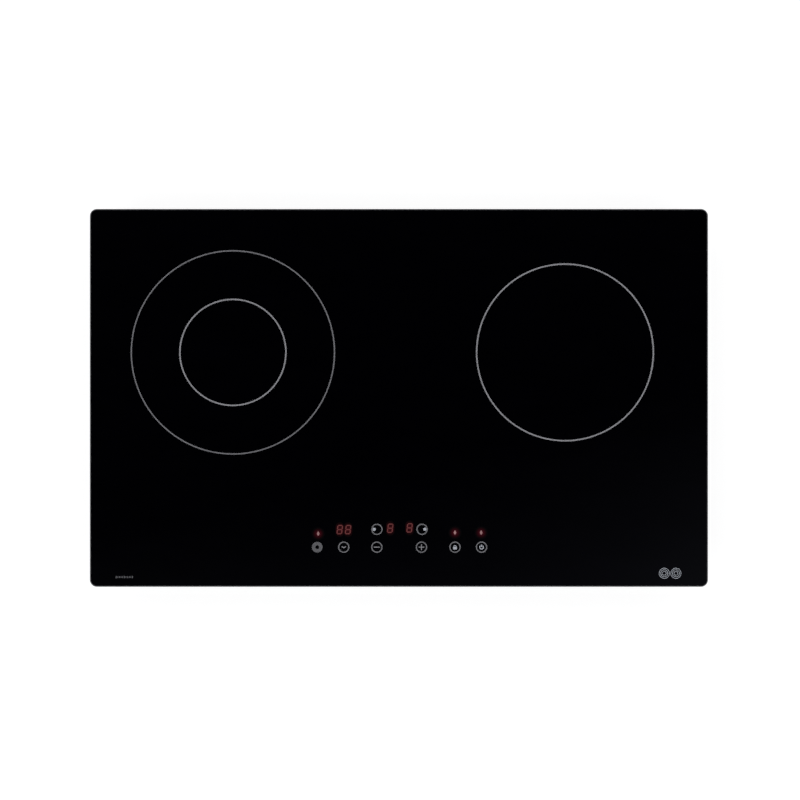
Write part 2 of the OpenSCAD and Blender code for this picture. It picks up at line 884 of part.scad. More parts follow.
// Route of a coil lead: from the rim of the winding, down through the tray to the board
lead_r = 1.7;
left_winding_r = left_outer_r + (left_outer_turns - 1) * litz_pitch + litz_r;
right_winding_r = right_inner_r + (right_turns - 1) * litz_pitch + litz_r;
function rim_point(side, a, r, z) =
    [side * (zone_x + r * cos(a)), zone_y - r * sin(a), z];
function coil_lead(side, k) =
    let (r = (side < 0 ? left_winding_r : right_winding_r) + lead_r + 0.1, o = 2.6 * k * sqrt(0.5),
        x = zone_x + lead_offset - o, y = zone_y - lead_offset - o, end_x = 272 - 4.5 * k)
    spline(concat([
        rim_point(side, 45 + 14 * k, r, -0.45), rim_point(side, 45 + 7 * k, max(r + 3, 121), -0.9),
        [side * x, y, -8], [side * x, y, -15], [side * (x - 1), y - 4, -23],
        [side * (end_x + 1), -59, -28]], plug_end(side * end_x, -60, parts_z + 10)), 4);

module coil_leads() {
    color([0.75, 0.5, 0.15]) for (s = [-1, 1], k = [-1, 1]) wire(coil_lead(s, k), lead_r, 6);
}

// Thin leads: from each temperature sensor and each fan to the boards
thin_r = 0.9;
function sensor_lead(side) = spline(concat([
    [side * zone_x, zone_y, carrier_z - 0.1], [side * zone_x, zone_y, -14],
    [side * zone_x, zone_y - 1, -18], [side * 187, 40, -23], [side * 186.5, 10, -28],
    [side * 186, -20, -30], [side * 172, -46, -33], [side * 145, -52, -34],
    [side * 132, -50.5, -34]], plug_end(side * 131, -50, parts_z + 7)), 4);
function fan_lead(side) = let (z = fan_z + fan_h + thin_r + 0.1) spline(concat([
    [side * (fan_x + 4.8), fan_y - 13.2, z], [side * (fan_x + 10.3), fan_y - 28.2, z],
    [side * (fan_x + 16), fan_y - 44, z + 0.6], [side * (fan_x + 21), fan_y - 53, -25.5],
    [side * (fan_x + 40), 18, -34], [side * 112, -24, -37], [side * 120, -46, -34],
    [side * 124.5, -49.5, -34]], plug_end(side * 125, -50, parts_z + 7)), 4);

module low_voltage_leads() {
    color([0.75, 0.5, 0.15]) for (s = [-1, 1]) {
        wire(sensor_lead(s), thin_r, 6);
        wire(fan_lead(s), thin_r, 6);
    }
}

// Live and neutral leads from the terminals to the right board, and on to the left one
function mains_lead(x) = spline(concat([
    [x, 155.4, mains_z], [x, 152, mains_z], [x, 147, mains_z], [x, 138, -34.5], [x, 130, -31]],
    plug_end(x, 125, parts_z + 7)), 5);
function link_half(side, y) = concat(
    [[side * 60, y, -46], [side * 98, y, -41], [side * 110, y, -34], [side * 118, y, -31.5]],
    plug_end(side * 124, y, parts_z + 7));
function link_lead(y) = spline(concat(flip(link_half(-1, y)), link_half(1, y)), 5);

module mains_leads() {
    color([0.45, 0.3, 0.2]) {
        for (x = mains_xs) wire(mains_lead(x), 1.5, 6);
        for (y = [-70, -82]) wire(link_lead(y), 1.5, 6);
    }
}

// ---------------------------------------------------------------- terminal box

module terminal_housing() {
    color(grey_plastic) difference() {
        union() {
            translate([box_x, box_y, 0]) difference() {
                slab(box_w, box_d, 3, floor_z, floor_z + box_h);
                slab(box_w - 2 * box_wall, box_d - 2 * box_wall, 1.5, floor_z - 1, floor_z + box_h - 2);
            }
            for (s = [-1, 1]) translate([box_x + s * (box_w / 2 - 2), hinge_y, 0])
                block(3.6, 5, floor_z, floor_z + 5);
        }
        translate([box_x, hinge_y, hinge_z]) rotate([0, 90, 0])
            cylinder(r = hinge_pin_r + 0.05, h = box_w - 1.6, center = true);
        translate([box_x, box_y + box_d / 2, inlet_z]) rotate([90, 0, 0]) disc(7.7, -3, 4);
        for (i = [0, 1]) translate([mains_xs[i], box_y - box_d / 2, mains_z])
            rotate([90, 0, 0]) disc(2, -3, 3);
    }
}

module terminal_block() {
    color(enamel) difference() {
        translate([box_x, terminal_y, 0]) block(62, 17, block_z, floor_z + box_h - 2);
        for (x = terminal_xs) translate([x, terminal_y, 0]) {
            disc(3.4, block_z - 1, block_z + 3);
            disc(1.4, block_z, block_z + 7);
            translate([5.6, 0, 0]) block(0.8, 20, block_z - 1, block_z + 2);
        }
    }
}

module terminal_screws() {
    color(bright_steel) {
        for (x = terminal_xs) translate([x, terminal_y, block_z + 3])
            mirror([0, 0, 1]) pan_screw(2.9, 1.8, 1.3, 3.6);
        for (s = [-1, 1]) translate([box_x + s * saddle_screw_x, saddle_y, floor_z + 5.5])
            mirror([0, 0, 1]) pan_screw(2.9, 1.8, 1.2, 6);
    }
}

// Strap that grips the mains cable inside the box, on two posts
module cable_saddle() {
    color(grey_plastic) translate([box_x, saddle_y, 0]) union() {
        difference() {
            block(32, 8, floor_z + 5.5, floor_z + 7.5);
            for (s = [-1, 1]) translate([s * saddle_screw_x, 0, 0]) disc(1.5, floor_z, floor_z + 20);
        }
        for (s = [-1, 1]) translate([s * saddle_screw_x, 0, 0]) difference() {
            disc(3.6, floor_z + 7.5, floor_z + box_h - 2);
            disc(1.5, floor_z, floor_z + 14);
        }
    }
}

module terminal_cover() {
    color(dark_plastic) difference() {
        union() {
            translate([box_x, hinge_y + (cover_d - knuckle_r) / 2, 0])
                block(cover_w, cover_d - knuckle_r, bottom_z, bottom_z + cover_t);
            translate([box_x, hinge_y, hinge_z]) rotate([0, 90, 0])
                cylinder(r = knuckle_r, h = cover_w - 0.4, center = true);
            translate([box_x, hinge_y, hinge_z]) rotate([0, 90, 0])
                cylinder(r = hinge_pin_r, h = box_w - 2, center = true);
            for (s = [-1, 1]) translate([box_x + s * 24, cover_front_y + cover_d - 1.6, 0])
                block(8, 1.6, bottom_z + 1, bottom_z + 6);
        }
        for (i = [-3:3]) translate([box_x + 8 * i, cover_front_y + cover_d / 2 + 2, bottom_z - 1])
            linear_extrude(1.5) slot2d(3, 20);
    }
}

module cable_grommet() {
    color(dark_plastic) translate([box_x, pan_d / 2, inlet_z]) rotate([-90, 0, 0]) difference() {
        union() {
            disc(10, 0.1, 2.1);
            disc(7.5, -7, 1);
            disc(9.2, -7, -4.4);
        }
        disc(inlet_r, -10, 5);
    }
}

// ---------------------------------------------------------------- clamps

clamp_t = 2;
clamp_w = 14;
clamp_z = strip_z - 0.3 - clamp_lift - clamp_t;
clamp_drop = 3;

// Clamp with its tongue along +X, hung under the screw hole at the origin
module clamp() {
    top = clamp_z + clamp_t;
    difference() {
        union() {
            disc(clamp_w / 2, clamp_z, top);
            rotate([90, 0, 0]) linear_extrude(clamp_w, center = true) polygon([
                [0, top], [14, top], [18, top - clamp_drop], [clamp_reach - clamp_t, top - clamp_drop],
                [clamp_reach - clamp_t, top], [clamp_reach, top],
                [clamp_reach, clamp_z - clamp_drop], [17, clamp_z - clamp_drop],
                [13, clamp_z], [0, clamp_z]]);
        }
        disc(2.1, clamp_z - 1, top + 1);
        for (y = [-5.25:3.5:5.25]) translate([clamp_reach - 1, y, top]) rotate([45, 0, 0])
            cube([4, 1.6, 1.6], center = true);
    }
}

module clamp_screw() {
    translate([0, 0, clamp_z]) mirror([0, 0, 1]) pan_screw(3.9, 2.4, 2, 16);
}

// Places a clamp or its screw at one corner, tongue folded towards the middle
module at_clamp(sx, sy) {
    translate([sx * clamp_x, sy * clamp_y, 0]) rotate(-sy * 90) children();
}

module clamp_screw_front_left() {
    color(bright_steel) at_clamp(-1, -1) clamp_screw();
}

module clamp_screw_front_right() {
    color(bright_steel) at_clamp(1, -1) clamp_screw();
}

module clamp_screw_rear_left() {
    color(bright_steel) at_clamp(-1, 1) clamp_screw();
}

module clamp_screw_rear_right() {
    color(bright_steel) at_clamp(1, 1) clamp_screw();
}

module clamp_front_left() {
    color(steel) at_clamp(-1, -1) clamp();
}

module clamp_front_right() {
    color(steel) at_clamp(1, -1) clamp();
}

module clamp_rear_left() {
    color(steel) at_clamp(-1, 1) clamp();
}

module clamp_rear_right() {
    color(steel) at_clamp(1, 1) clamp();
}

// Hexagon nuts fixed inside the casing, over the clamp screws
module clamp_nuts() {
    color(bright_steel) for (sx = [-1, 1], sy = [-1, 1])
        translate([sx * clamp_x, sy * clamp_y, strip_floor_z]) difference() {
            cylinder(r = 4.04, h = 3.2, $fn = 6);
            translate([0, 0, -1]) cylinder(r = 2.1, h = 6);
        }
}

// ---------------------------------------------------------------- nodes

glass_plate();
zone_rings();
key_symbols();
edge_seal();
glass_adhesive();
support_frame();
base_pan();
casing_screws();
left_insulating_sheet();
right_insulating_sheet();
left_outer_winding();
left_inner_winding();
right_winding();
left_coil_carrier();
right_coil_carrier();
left_ferrite_bars();
right_ferrite_bars();
temperature_sensors();
left_coil_tray();
right_coil_tray();
support_posts();
support_springs();
left_power_board();
right_power_board();
left_heatsink();
right_heatsink();
film_capacitors();
filter_chokes();
power_transistors();
board_parts();
left_fan_frame();
right_fan_frame();
left_fan_rotor();
right_fan_rotor();
fan_bearings();
fan_stators();
fan_screws();
control_tray();
control_board();
touch_springs();
led_displays();
ribbon_cable();
coil_leads();
low_voltage_leads();
mains_leads();
terminal_housing();
terminal_block();
terminal_screws();
terminal_cover();
cable_saddle();
cable_grommet();
clamp_nuts();
clamp_screw_front_left();
clamp_screw_front_right();
clamp_screw_rear_left();
clamp_screw_rear_right();
clamp_front_left();
clamp_front_right();
clamp_rear_left();
clamp_rear_right();
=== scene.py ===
"""Looks of a built-in two-zone induction cooktop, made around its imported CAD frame.

X runs to the right, Y to the back, Z up; z = 0 is the top of the worktop. Meshes are drawn in
millimetres and piece() brings them to metres. Materials, lights and the camera are in metres.
"""
from math import asin, copysign, cos, degrees, pi, radians, sin, tan, tau

import bmesh
import bpy
from mathutils import Matrix, Vector


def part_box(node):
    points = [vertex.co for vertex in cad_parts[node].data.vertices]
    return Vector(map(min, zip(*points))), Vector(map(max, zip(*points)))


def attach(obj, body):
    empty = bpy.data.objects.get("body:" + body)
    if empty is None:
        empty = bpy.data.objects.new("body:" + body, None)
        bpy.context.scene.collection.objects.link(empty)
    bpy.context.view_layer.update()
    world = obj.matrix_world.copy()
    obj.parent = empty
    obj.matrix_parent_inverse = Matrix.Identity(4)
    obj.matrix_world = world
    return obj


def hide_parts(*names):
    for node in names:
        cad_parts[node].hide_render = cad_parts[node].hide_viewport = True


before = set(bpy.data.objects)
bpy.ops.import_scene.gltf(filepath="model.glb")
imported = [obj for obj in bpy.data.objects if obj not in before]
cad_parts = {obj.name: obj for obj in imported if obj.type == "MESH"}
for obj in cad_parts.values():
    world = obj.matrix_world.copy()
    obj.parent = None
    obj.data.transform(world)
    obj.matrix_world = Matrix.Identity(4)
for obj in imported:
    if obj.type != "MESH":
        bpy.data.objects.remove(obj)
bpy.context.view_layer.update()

MM = 0.001
HOB = "hob"


def box(node):
    """Low and high corner of a CAD node's box, in millimetres."""
    return [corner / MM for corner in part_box(node)]


def size_of(node):
    """Width, depth and height of a CAD node's box, in millimetres."""
    low, high = box(node)
    return high - low


GLASS_LOW, GLASS_HIGH = box("glass_plate")
GLASS_TOP = GLASS_HIGH.z
BASE_Z = box("base_pan")[0].z


def add_object(name, data):
    """Puts a new object that shows the data into the scene."""
    made = bpy.data.objects.new(name, data)
    bpy.context.scene.collection.objects.link(made)
    return made


# ---- camera ----

LENS = 100.0
SENSOR = 36.0
PICTURE_WIDTH = 0.9057   # seen across the picture, at the top of the glass
LOOK_AT = (0.0012, -0.0024)


def make_camera():
    """Looks straight down on the glass from a distance, as a catalogue picture does."""
    data = bpy.data.cameras.new("camera")
    data.lens = LENS
    data.sensor_width = SENSOR
    camera = add_object("camera", data)
    camera.location = (*LOOK_AT, GLASS_TOP * MM + PICTURE_WIDTH * LENS / SENSOR)
    bpy.context.scene.camera = camera


make_camera()


# ---- materials ----

class Nodes:
    """A node tree and short ways to add to it."""

    def __init__(self, tree, place):
        self.tree = tree
        self.place = self.node("TexCoord", place)

    def node(self, kind, output, inputs=(), **settings):
        """Adds a node with its own settings, feeds its inputs and returns one of its outputs."""
        made = self.tree.nodes.new(f"ShaderNode{kind}")
        for key, value in settings.items():
            setattr(made, key, value)
        for key, value in dict(inputs).items():
            self.feed(made.inputs[key], value)
        return made.outputs[output]

    def feed(self, socket, value):
        """Links an output to a socket, or sets the socket's value."""
        if isinstance(value, bpy.types.NodeSocket):
            self.tree.links.new(value, socket)
        else:
            socket.default_value = value

    def math(self, operation, a, b=0.0):
        return self.node("Math", "Value", {0: a, 1: b}, operation=operation)

    def length(self, x, y):
        """Length of a flat vector."""
        return self.math("SQRT", self.math("ADD", self.math("MULTIPLY", x, x), self.math("MULTIPLY", y, y)))

    def axes(self, vector):
        """X, Y and Z of a vector."""
        return self.node("SeparateXYZ", "X", {"Vector": vector}).node.outputs

    def spread(self, value, low, high, start=0.0, end=1.0):
        """Maps a value from start..end to low..high."""
        return self.node("MapRange", "Result", {"Value": value, "From Min": start, "From Max": end,
                                                "To Min": low, "To Max": high})

    def ramp(self, value, *stops):
        """Colour ramp; each stop is a position and a colour, in rising order."""
        made = self.node("ValToRGB", "Color", {"Fac": value})
        points = made.node.color_ramp.elements
        while len(points) < len(stops):
            points.new(1.0)
        for point, (position, colour) in zip(points, stops):
            point.position = position
            point.color = (*colour, 1.0)
        return made


class Shader(Nodes):
    """A procedural material: a Principled shader and the nodes that feed it."""

    def __init__(self, name, metallic=0.0, **values):
        self.material = bpy.data.materials.new(name)
        self.material.use_nodes = True
        super().__init__(self.material.node_tree, "Object")
        self.noises = {}
        self.set(Metallic=metallic, **values)

    def set(self, **values):
        """Feeds the Principled shader."""
        for key, value in values.items():
            self.feed(self.tree.nodes["Principled BSDF"].inputs[key.replace("_", " ")], value)

    def noise(self, size, detail=3.0, rough=0.5, stretch=None):
        """Soft noise whose grains are about size metres across; asked for again, it is the same node."""
        key = (size, detail, rough, stretch)
        if key not in self.noises:
            place = self.place
            if stretch:
                place = self.node("Mapping", "Vector", {"Vector": place, "Scale": stretch})
            grain = {"Vector": place, "Scale": 1 / size, "Detail": detail, "Roughness": rough}
            self.noises[key] = self.node("TexNoise", "Fac", grain)
        return self.noises[key]

    def cells(self, size, output, place):
        """Voronoi cells about size metres across."""
        return self.node("TexVoronoi", output, {"Vector": place, "Scale": 1 / size})

    def grey(self, colour):
        return self.node("RGBToBW", "Val", {"Color": colour})

    def mix(self, factor, a, b):
        """Mixes two colours."""
        return self.node("Mix", "Result", {"Factor": factor, "A": a, "B": b}, data_type="RGBA")

    def bump(self, height, depth, **over):
        """Bumps depth metres high where height is 1; Normal=... lays them over other bumps."""
        return self.node("Bump", "Normal", {"Height": height, "Distance": depth, **over})


def tint(colour, factor):
    return tuple(channel * factor for channel in colour)


def two_tones(colour, dark, light, start=0.3, end=0.7):
    """Stops of a ramp between a darker and a lighter shade of a colour."""
    return (start, tint(colour, dark)), (end, tint(colour, light))


def surface(name, mottle, stops, rough, relief, depth, metallic=0.0, **values):
    """A finish whose colour, roughness and relief follow noises, each given by what noise() takes.
    The roughness is the sum of one or more noises, each with the range it is spread over."""
    s = Shader(name, metallic, **values)
    parts = [s.spread(s.noise(*source), *span) for source, span in rough]
    s.set(Base_Color=s.ramp(s.noise(*mottle), *stops), Normal=s.bump(s.noise(*relief), depth),
          Roughness=s.math("ADD", *parts) if len(parts) > 1 else parts[0])
    return s.material


def glass_material():
    """Black ceramic glass: a mirror with faint wiping marks."""
    marks = (0.09, 5, 0.6, (1, 3, 1))
    return surface("black_glass", marks, [(0.3, (0.0001, 0.0001, 0.0004)), (0.8, (0.0003, 0.0003, 0.0008))],
                   [(marks, (0.035, 0.075, 0.35, 0.75))], (0.004, 2), 0.0000006, IOR=1.52)


def ground_edge_material():
    """The ground edge of the glass: dull grey with fine grinding lines."""
    lines = (0.0012, 4, 0.6, (1, 1, 8))
    return surface("ground_glass_edge", lines, [(0.3, (0.045, 0.046, 0.050)), (0.7, (0.085, 0.086, 0.092))],
                   [(lines, (0.28, 0.5))], lines, 0.00002, IOR=1.52)


def enamel_material(name, colour):
    """Enamel print: slightly grainy and not quite even."""
    s = Shader(name)
    grain = s.noise(0.0004, 3)
    cloud = s.spread(s.noise(0.02, 2), 0.92, 1.06, 0.3, 0.7)
    uneven = s.math("MULTIPLY", s.spread(grain, 0.9, 1.08, 0.3, 0.7), cloud)
    s.set(Base_Color=s.ramp(uneven, *two_tones(colour, 0.78, 1, 0.8, 1.0)),
          Roughness=s.spread(grain, 0.38, 0.55), Normal=s.bump(grain, 0.00001))
    return s.material


def galvanised_material(name, colour, spangle=0.006, rough=(0.30, 0.42)):
    """Zinc-coated sheet: crystals that catch the light in turn, dull stains and fine scratches."""
    s = Shader(name, metallic=1.0)
    wander = {0: s.noise(spangle / 3, 2, 0.6), 1: (spangle / 2,) * 3, 2: s.place}
    warp = s.node("VectorMath", "Vector", wander, operation="MULTIPLY_ADD")
    crystal = s.grey(s.cells(spangle, "Color", warp))
    frost = s.noise(0.0012, 4, 0.65)
    shine = s.math("ADD", s.spread(crystal, -0.3, 0.3, 0.15, 0.85), s.spread(frost, -0.25, 0.25, 0.3, 0.7))
    shine = s.math("ADD", shine, s.spread(s.noise(0.13, 4, 0.55), -0.45, 0.45, 0.3, 0.7))
    shades = (0.0, tint(colour, 0.72)), (0.5, colour), (1.0, tint(colour, 1.2))
    scratches = s.spread(s.noise(0.0016, 2, 0.5, (0.06, 1, 1)), 0.0, 0.1, 0.45, 0.8)
    s.set(Base_Color=s.ramp(s.spread(shine, 0, 1, -1, 1), *shades),
          Roughness=s.math("ADD", s.spread(crystal, *rough, 0.1, 0.9), scratches),
          Normal=s.bump(frost, 0.000015, Normal=s.bump(crystal, 0.000012)))
    return s.material


def plated_material(name, colour, rough=0.26):
    """Zinc-plated fastener: bright, with a little cloudiness and turning marks."""
    cloud, lines = (0.0024, 4, 0.6), (0.0003, 2, 0.5, (1, 1, 5))
    return surface(name, cloud, [*two_tones(colour, 0.82, 1, 0.3, 0.6), (0.8, (0.78, 0.74, 0.63))],
                   [(cloud, (rough - 0.06, rough + 0.12, 0.3, 0.7)), (lines, (0.0, 0.08))],
                   lines, 0.000008, 1.0)


def plastic_material(name, colour, rough=0.5):
    """Moulded plastic with a spark-eroded texture."""
    fine, flow = (0.0005, 2, 0.6), (0.03, 3)
    return surface(name, flow, two_tones(colour, 0.85, 1.12),
                   [(flow, (rough - 0.05, rough + 0.05, 0.3, 0.7)), (fine, (-0.06, 0.06))], fine, 0.000018)


def foam_material():
    """Closed-cell foam: open pores on a dull black skin, with painted shade darkening each pore towards its
    deepest point.
    """
    s = Shader("foam")
    pores = s.cells(0.0007, "Distance", s.place)
    # painted shade: the colour is darker towards the middle of each pore, where its hollow is deepest
    s.set(Base_Color=s.ramp(pores, (0.0, (0.006, 0.006, 0.006)), (0.5, (0.026, 0.026, 0.027))),
          Roughness=s.spread(s.noise(0.015, 4), 0.8, 0.97), Normal=s.bump(pores, 0.00016))
    return s.material


def rubber_material(name, colour):
    bloom = (0.006, 4, 0.6)
    return surface(name, bloom, two_tones(colour, 1, 1.7, 0.35, 0.8), [(bloom, (0.55, 0.78))],
                   (0.0004, 2), 0.00002)


def aluminium_material():
    """Mill-finish aluminium with rolling lines along X."""
    lines = (0.0011, 3, 0.6, (0.04, 1, 1))
    return surface("mill_aluminium", (0.05, 3), [(0.3, (0.66, 0.67, 0.69)), (0.7, (0.80, 0.81, 0.82))],
                   [(lines, (0.22, 0.42))], lines, 0.00001, 1.0)


def board_material():
    """Circuit board: green mask over straight copper tracks, with tinned pads where some of them cross."""
    s = Shader("circuit_board")
    pitch, run = 0.0013, 0.021

    def tracks(across, along):
        """Straight lines of random lengths; returns their mask and how far off their middle a place is."""
        row = s.math("DIVIDE", across, pitch)
        lane = s.math("FLOOR", row)
        stagger = s.math("MULTIPLY", lane, 0.37)
        stretch = s.math("FLOOR", s.math("ADD", s.math("DIVIDE", along, run), stagger))
        pick = s.node("CombineXYZ", "Vector", {"X": lane, "Y": stretch})
        chance = s.node("TexWhiteNoise", "Value", {"Vector": pick}, noise_dimensions="2D")
        off = s.math("ABSOLUTE", s.math("SUBTRACT", s.math("FRACT", row), 0.5))
        kept = s.math("GREATER_THAN", chance, 0.52)
        return s.math("MULTIPLY", s.spread(off, 1.0, 0.0, 0.24, 0.32), kept), off

    x, y, _ = s.axes(s.place)
    along_x, off_y = tracks(y, x)
    along_y, off_x = tracks(x, y)
    track = s.grey(s.mix(s.math("GREATER_THAN", s.noise(0.03, 1), 0.52), along_x, along_y))
    both = s.math("MULTIPLY", along_x, along_y)
    pad = s.math("MULTIPLY", s.spread(s.length(off_x, off_y), 1.0, 0.0, 0.38, 0.44), both)
    weave = s.noise(0.0005, 2)
    mask = s.mix(track, (0.008, 0.060, 0.026, 1), (0.018, 0.125, 0.045, 1))
    s.set(Base_Color=s.mix(pad, mask, (0.62, 0.62, 0.60, 1)), Metallic=pad,
          Roughness=s.spread(weave, 0.24, 0.38),
          Normal=s.bump(s.math("MAXIMUM", track, pad), 0.00003, Normal=s.bump(weave, 0.000006)))
    return s.material


def litz_material(name, winding, strand=0.00055, twists=150.0):
    """A winding of stranded enamelled wire: fine twisted strands that run round the middle of a winding,
    with painted shade darkening the grooves between the strands.
    """
    s = Shader(name, metallic=1.0)
    low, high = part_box(winding)
    x, y, z = s.axes(s.node("VectorMath", "Vector", {0: s.place, 1: (low + high) / 2}, operation="SUBTRACT"))
    fold = s.math("DIVIDE", s.math("ADD", s.length(x, y), z), strand / tau)
    wave = s.math("SINE", s.math("ADD", fold, s.math("MULTIPLY", s.math("ARCTAN2", y, x), twists)))
    # painted shade: the wave makes the colour darker in the grooves between strands and lighter on them; the
    # slow noise adds random tone
    shade = s.math("ADD", s.spread(wave, -0.25, 0.25, -1, 1), s.spread(s.noise(0.03, 3), 0.2, 0.8, 0.3, 0.7))
    s.set(Base_Color=s.ramp(shade, (0.1, (0.26, 0.095, 0.035)), (0.9, (0.78, 0.36, 0.16))),
          Roughness=s.spread(wave, 0.42, 0.26, -1, 1), Normal=s.bump(wave, 0.00006))
    return s.material


def wire_material(name, colour, wire=0.0008):
    """Turns of enamelled wire, side by side."""
    turns = (wire, 2, 0.5, (1, 1, 2.5))
    return surface(name, (0.04, 3), two_tones(colour, 0.7, 1.15), [(turns, (0.24, 0.5))],
                   turns, 0.00008, 1.0)


def stone_material(name, colour, rough, grain):
    """Pressed or layered mineral: ferrite and mica."""
    specks = (grain, 4, 0.7)
    return surface(name, specks, two_tones(colour, 0.72, 1.2), [(specks, (rough - 0.1, rough + 0.12))],
                   specks, 0.00003)


def glow_material(name, colour, halo):
    """Light under the black glass: bright in the middle of its own object and gone at halo metres."""
    s = Shader(name, IOR=1.52, Roughness=0.05, Base_Color=(0.0012, 0.0011, 0.0014, 1), Emission_Strength=1.0)
    reach = s.node("VectorMath", "Value", {0: s.place}, operation="LENGTH")
    soft = s.math("POWER", s.spread(reach, 1.0, 0.0, 0.0, halo), 2.2)
    grain = s.spread(s.noise(0.0006, 2), 0.85, 1.15)
    s.set(Emission_Color=s.ramp(s.math("MULTIPLY", soft, grain), (0.0, (0, 0, 0)), (1.0, colour)))
    return s.material


def lit_material(name, colour):
    """A lit segment or lamp seen through the glass, a little uneven along its length."""
    s = Shader(name, IOR=1.52, Roughness=0.05, Base_Color=(0.004, 0.001, 0.001, 1), Emission_Strength=1.0)
    s.set(Emission_Color=s.ramp(s.noise(0.0022, 2), *two_tones(colour, 0.7, 1)))
    return s.material


MATERIALS = {
    "glass": glass_material(),
    "edge": ground_edge_material(),
    "enamel": enamel_material("enamel_print", (0.22, 0.22, 0.235)),
    "faint_enamel": enamel_material("faint_enamel_print", (0.135, 0.135, 0.145)),
    "dim_enamel": enamel_material("dim_enamel_print", (0.093, 0.093, 0.10)),
    "bright_enamel": enamel_material("bright_enamel_print", (0.36, 0.38, 0.42)),
    "sheet": galvanised_material("galvanised_sheet", (0.52, 0.54, 0.555)),
    "clamp": galvanised_material("clamp_steel", (0.36, 0.365, 0.365), 0.0022, (0.30, 0.44)),
    "screw": plated_material("zinc_screw", (0.70, 0.71, 0.72)),
    "spring": plated_material("spring_steel", (0.62, 0.62, 0.63), 0.2),
    "tin": plated_material("tinned_pin", (0.66, 0.66, 0.65)),
    "black_plastic": plastic_material("black_plastic", (0.022, 0.022, 0.024)),
    "grey_plastic": plastic_material("grey_plastic", (0.20, 0.21, 0.22)),
    "white_plastic": plastic_material("white_plastic", (0.62, 0.61, 0.57), 0.42),
    "epoxy": plastic_material("display_epoxy", (0.14, 0.02, 0.02), 0.3),
    "relay": plastic_material("relay_case", (0.030, 0.030, 0.034), 0.38),
    "can_sleeve": plastic_material("capacitor_sleeve", (0.018, 0.022, 0.060), 0.32),
    "tape": plastic_material("winding_tape", (0.62, 0.42, 0.05), 0.4),
    "ribbon": plastic_material("ribbon_cable", (0.42, 0.42, 0.44), 0.45),
    "sleeve": plastic_material("lead_sleeve", (0.32, 0.17, 0.04), 0.6),
    "foam": foam_material(),
    "silicone": rubber_material("silicone_bead", (0.03, 0.03, 0.033)),
    "rubber": rubber_material("grommet_rubber", (0.012, 0.012, 0.013)),
    "aluminium": aluminium_material(),
    "board": board_material(),
    "left_copper": litz_material("left_litz_copper", "left_inner_winding"),
    "right_copper": litz_material("right_litz_copper", "right_winding"),
    "wire": wire_material("enamelled_wire", (0.48, 0.19, 0.07)),
    "bronze": stone_material("sintered_bronze", (0.40, 0.25, 0.10), 0.4, 0.0004),
    "ferrite": stone_material("ferrite", (0.035, 0.035, 0.037), 0.5, 0.0006),
    "mica": stone_material("mica_sheet", (0.46, 0.38, 0.26), 0.55, 0.003),
    "digit": lit_material("lit_segment", (0.15, 0.042, 0.042)),
    "lamp": lit_material("lit_lamp", (0.33, 0.19, 0.195)),
    "lamp_glow": glow_material("lamp_glow", (0.080, 0.004, 0.010), 0.0075),
    "digit_glow": glow_material("digit_glow", (0.042, 0.003, 0.005), 0.0105),
}


# ---- mesh tools ----

def mesh_data(name, mesh):
    """Turns a bmesh into the data of an object."""
    data = bpy.data.meshes.new(name)
    mesh.to_mesh(data)
    mesh.free()
    return data


def piece(name, mesh, materials, slot, body=HOB, replaces=(), sharp=35.0, origin=(0, 0, 0)):
    """Turns a bmesh in millimetres into a finished piece that rides on a CAD body."""
    bmesh.ops.recalc_face_normals(mesh, faces=mesh.faces)
    for face in mesh.faces:
        face.smooth = True
    for edge in mesh.edges:
        edge.smooth = len(edge.link_faces) == 2 and edge.calc_face_angle(0) < radians(sharp)
    moved(mesh, Matrix.Scale(MM, 4) @ shift(*origin).inverted())
    made = add_object(name, mesh_data(name, mesh))
    made.location = Vector(origin) * MM
    for key in [materials] if isinstance(materials, str) else materials:
        made.data.materials.append(MATERIALS[key])
    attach(made, body)
    if replaces:
        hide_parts(*([replaces] if isinstance(replaces, str) else replaces))
    return made


def merged(*parts):
    """Joins bmeshes into one."""
    whole = bmesh.new()
    for part in parts:
        scratch = mesh_data("scratch", part)
        whole.from_mesh(scratch)
        bpy.data.meshes.remove(scratch)
    return whole


def moved(mesh, matrix):
    mesh.transform(matrix)
    return mesh


def copies(mesh, matrices):
    """One bmesh that holds a copy of the mesh at each matrix."""
    whole = merged(*(moved(mesh.copy(), matrix) for matrix in matrices))
    mesh.free()
    return whole


def shift(x=0.0, y=0.0, z=0.0):
    return Matrix.Translation((x, y, z))


def turn(angle, axis="Z"):
    return Matrix.Rotation(radians(angle), 4, axis)


def arc(x, y, radius, start, end, steps):
    """Points along an arc, in degrees, both ends included."""
    return [(x + radius * cos(radians(a)), y + radius * sin(radians(a)))
            for a in (start + (end - start) * i / steps for i in range(steps + 1))]


def rounded_outline(width, depth, radius, steps=8):
    """Rounded rectangle as points and outward directions, counterclockwise."""
    found = []
    for quarter, (sx, sy) in enumerate(((1, 1), (-1, 1), (-1, -1), (1, -1))):
        corner = Vector((sx * (width / 2 - radius), sy * (depth / 2 - radius)))
        for i in range(steps + 1):
            a = radians(90 * (quarter + i / steps))
            out = Vector((cos(a), sin(a)))
            found.append((corner + radius * out, out))
    return found


def round_outline(radius, steps):
    """Circle as points and outward directions."""
    outs = [Vector((cos(a), sin(a))) for a in (tau * i / steps for i in range(steps))]
    return [(radius * out, out) for out in outs]


def rail(outline, profile, caps=False):
    """Sweeps a profile round an outline. Each profile point is how far outward and how high it lies.
    With caps, the profile is open and its two ends are closed with flat faces."""
    mesh = bmesh.new()
    rings = [[mesh.verts.new((*(point + out * reach), height)) for reach, height in profile]
             for point, out in outline]
    count = len(profile)
    for i, ring in enumerate(rings):
        after = rings[(i + 1) % len(rings)]
        for j in range(count - 1 if caps else count):
            k = (j + 1) % count
            mesh.faces.new((ring[j], after[j], after[k], ring[k]))
    if caps:
        mesh.faces.new([ring[0] for ring in reversed(rings)])
        mesh.faces.new([ring[-1] for ring in rings])
    return mesh


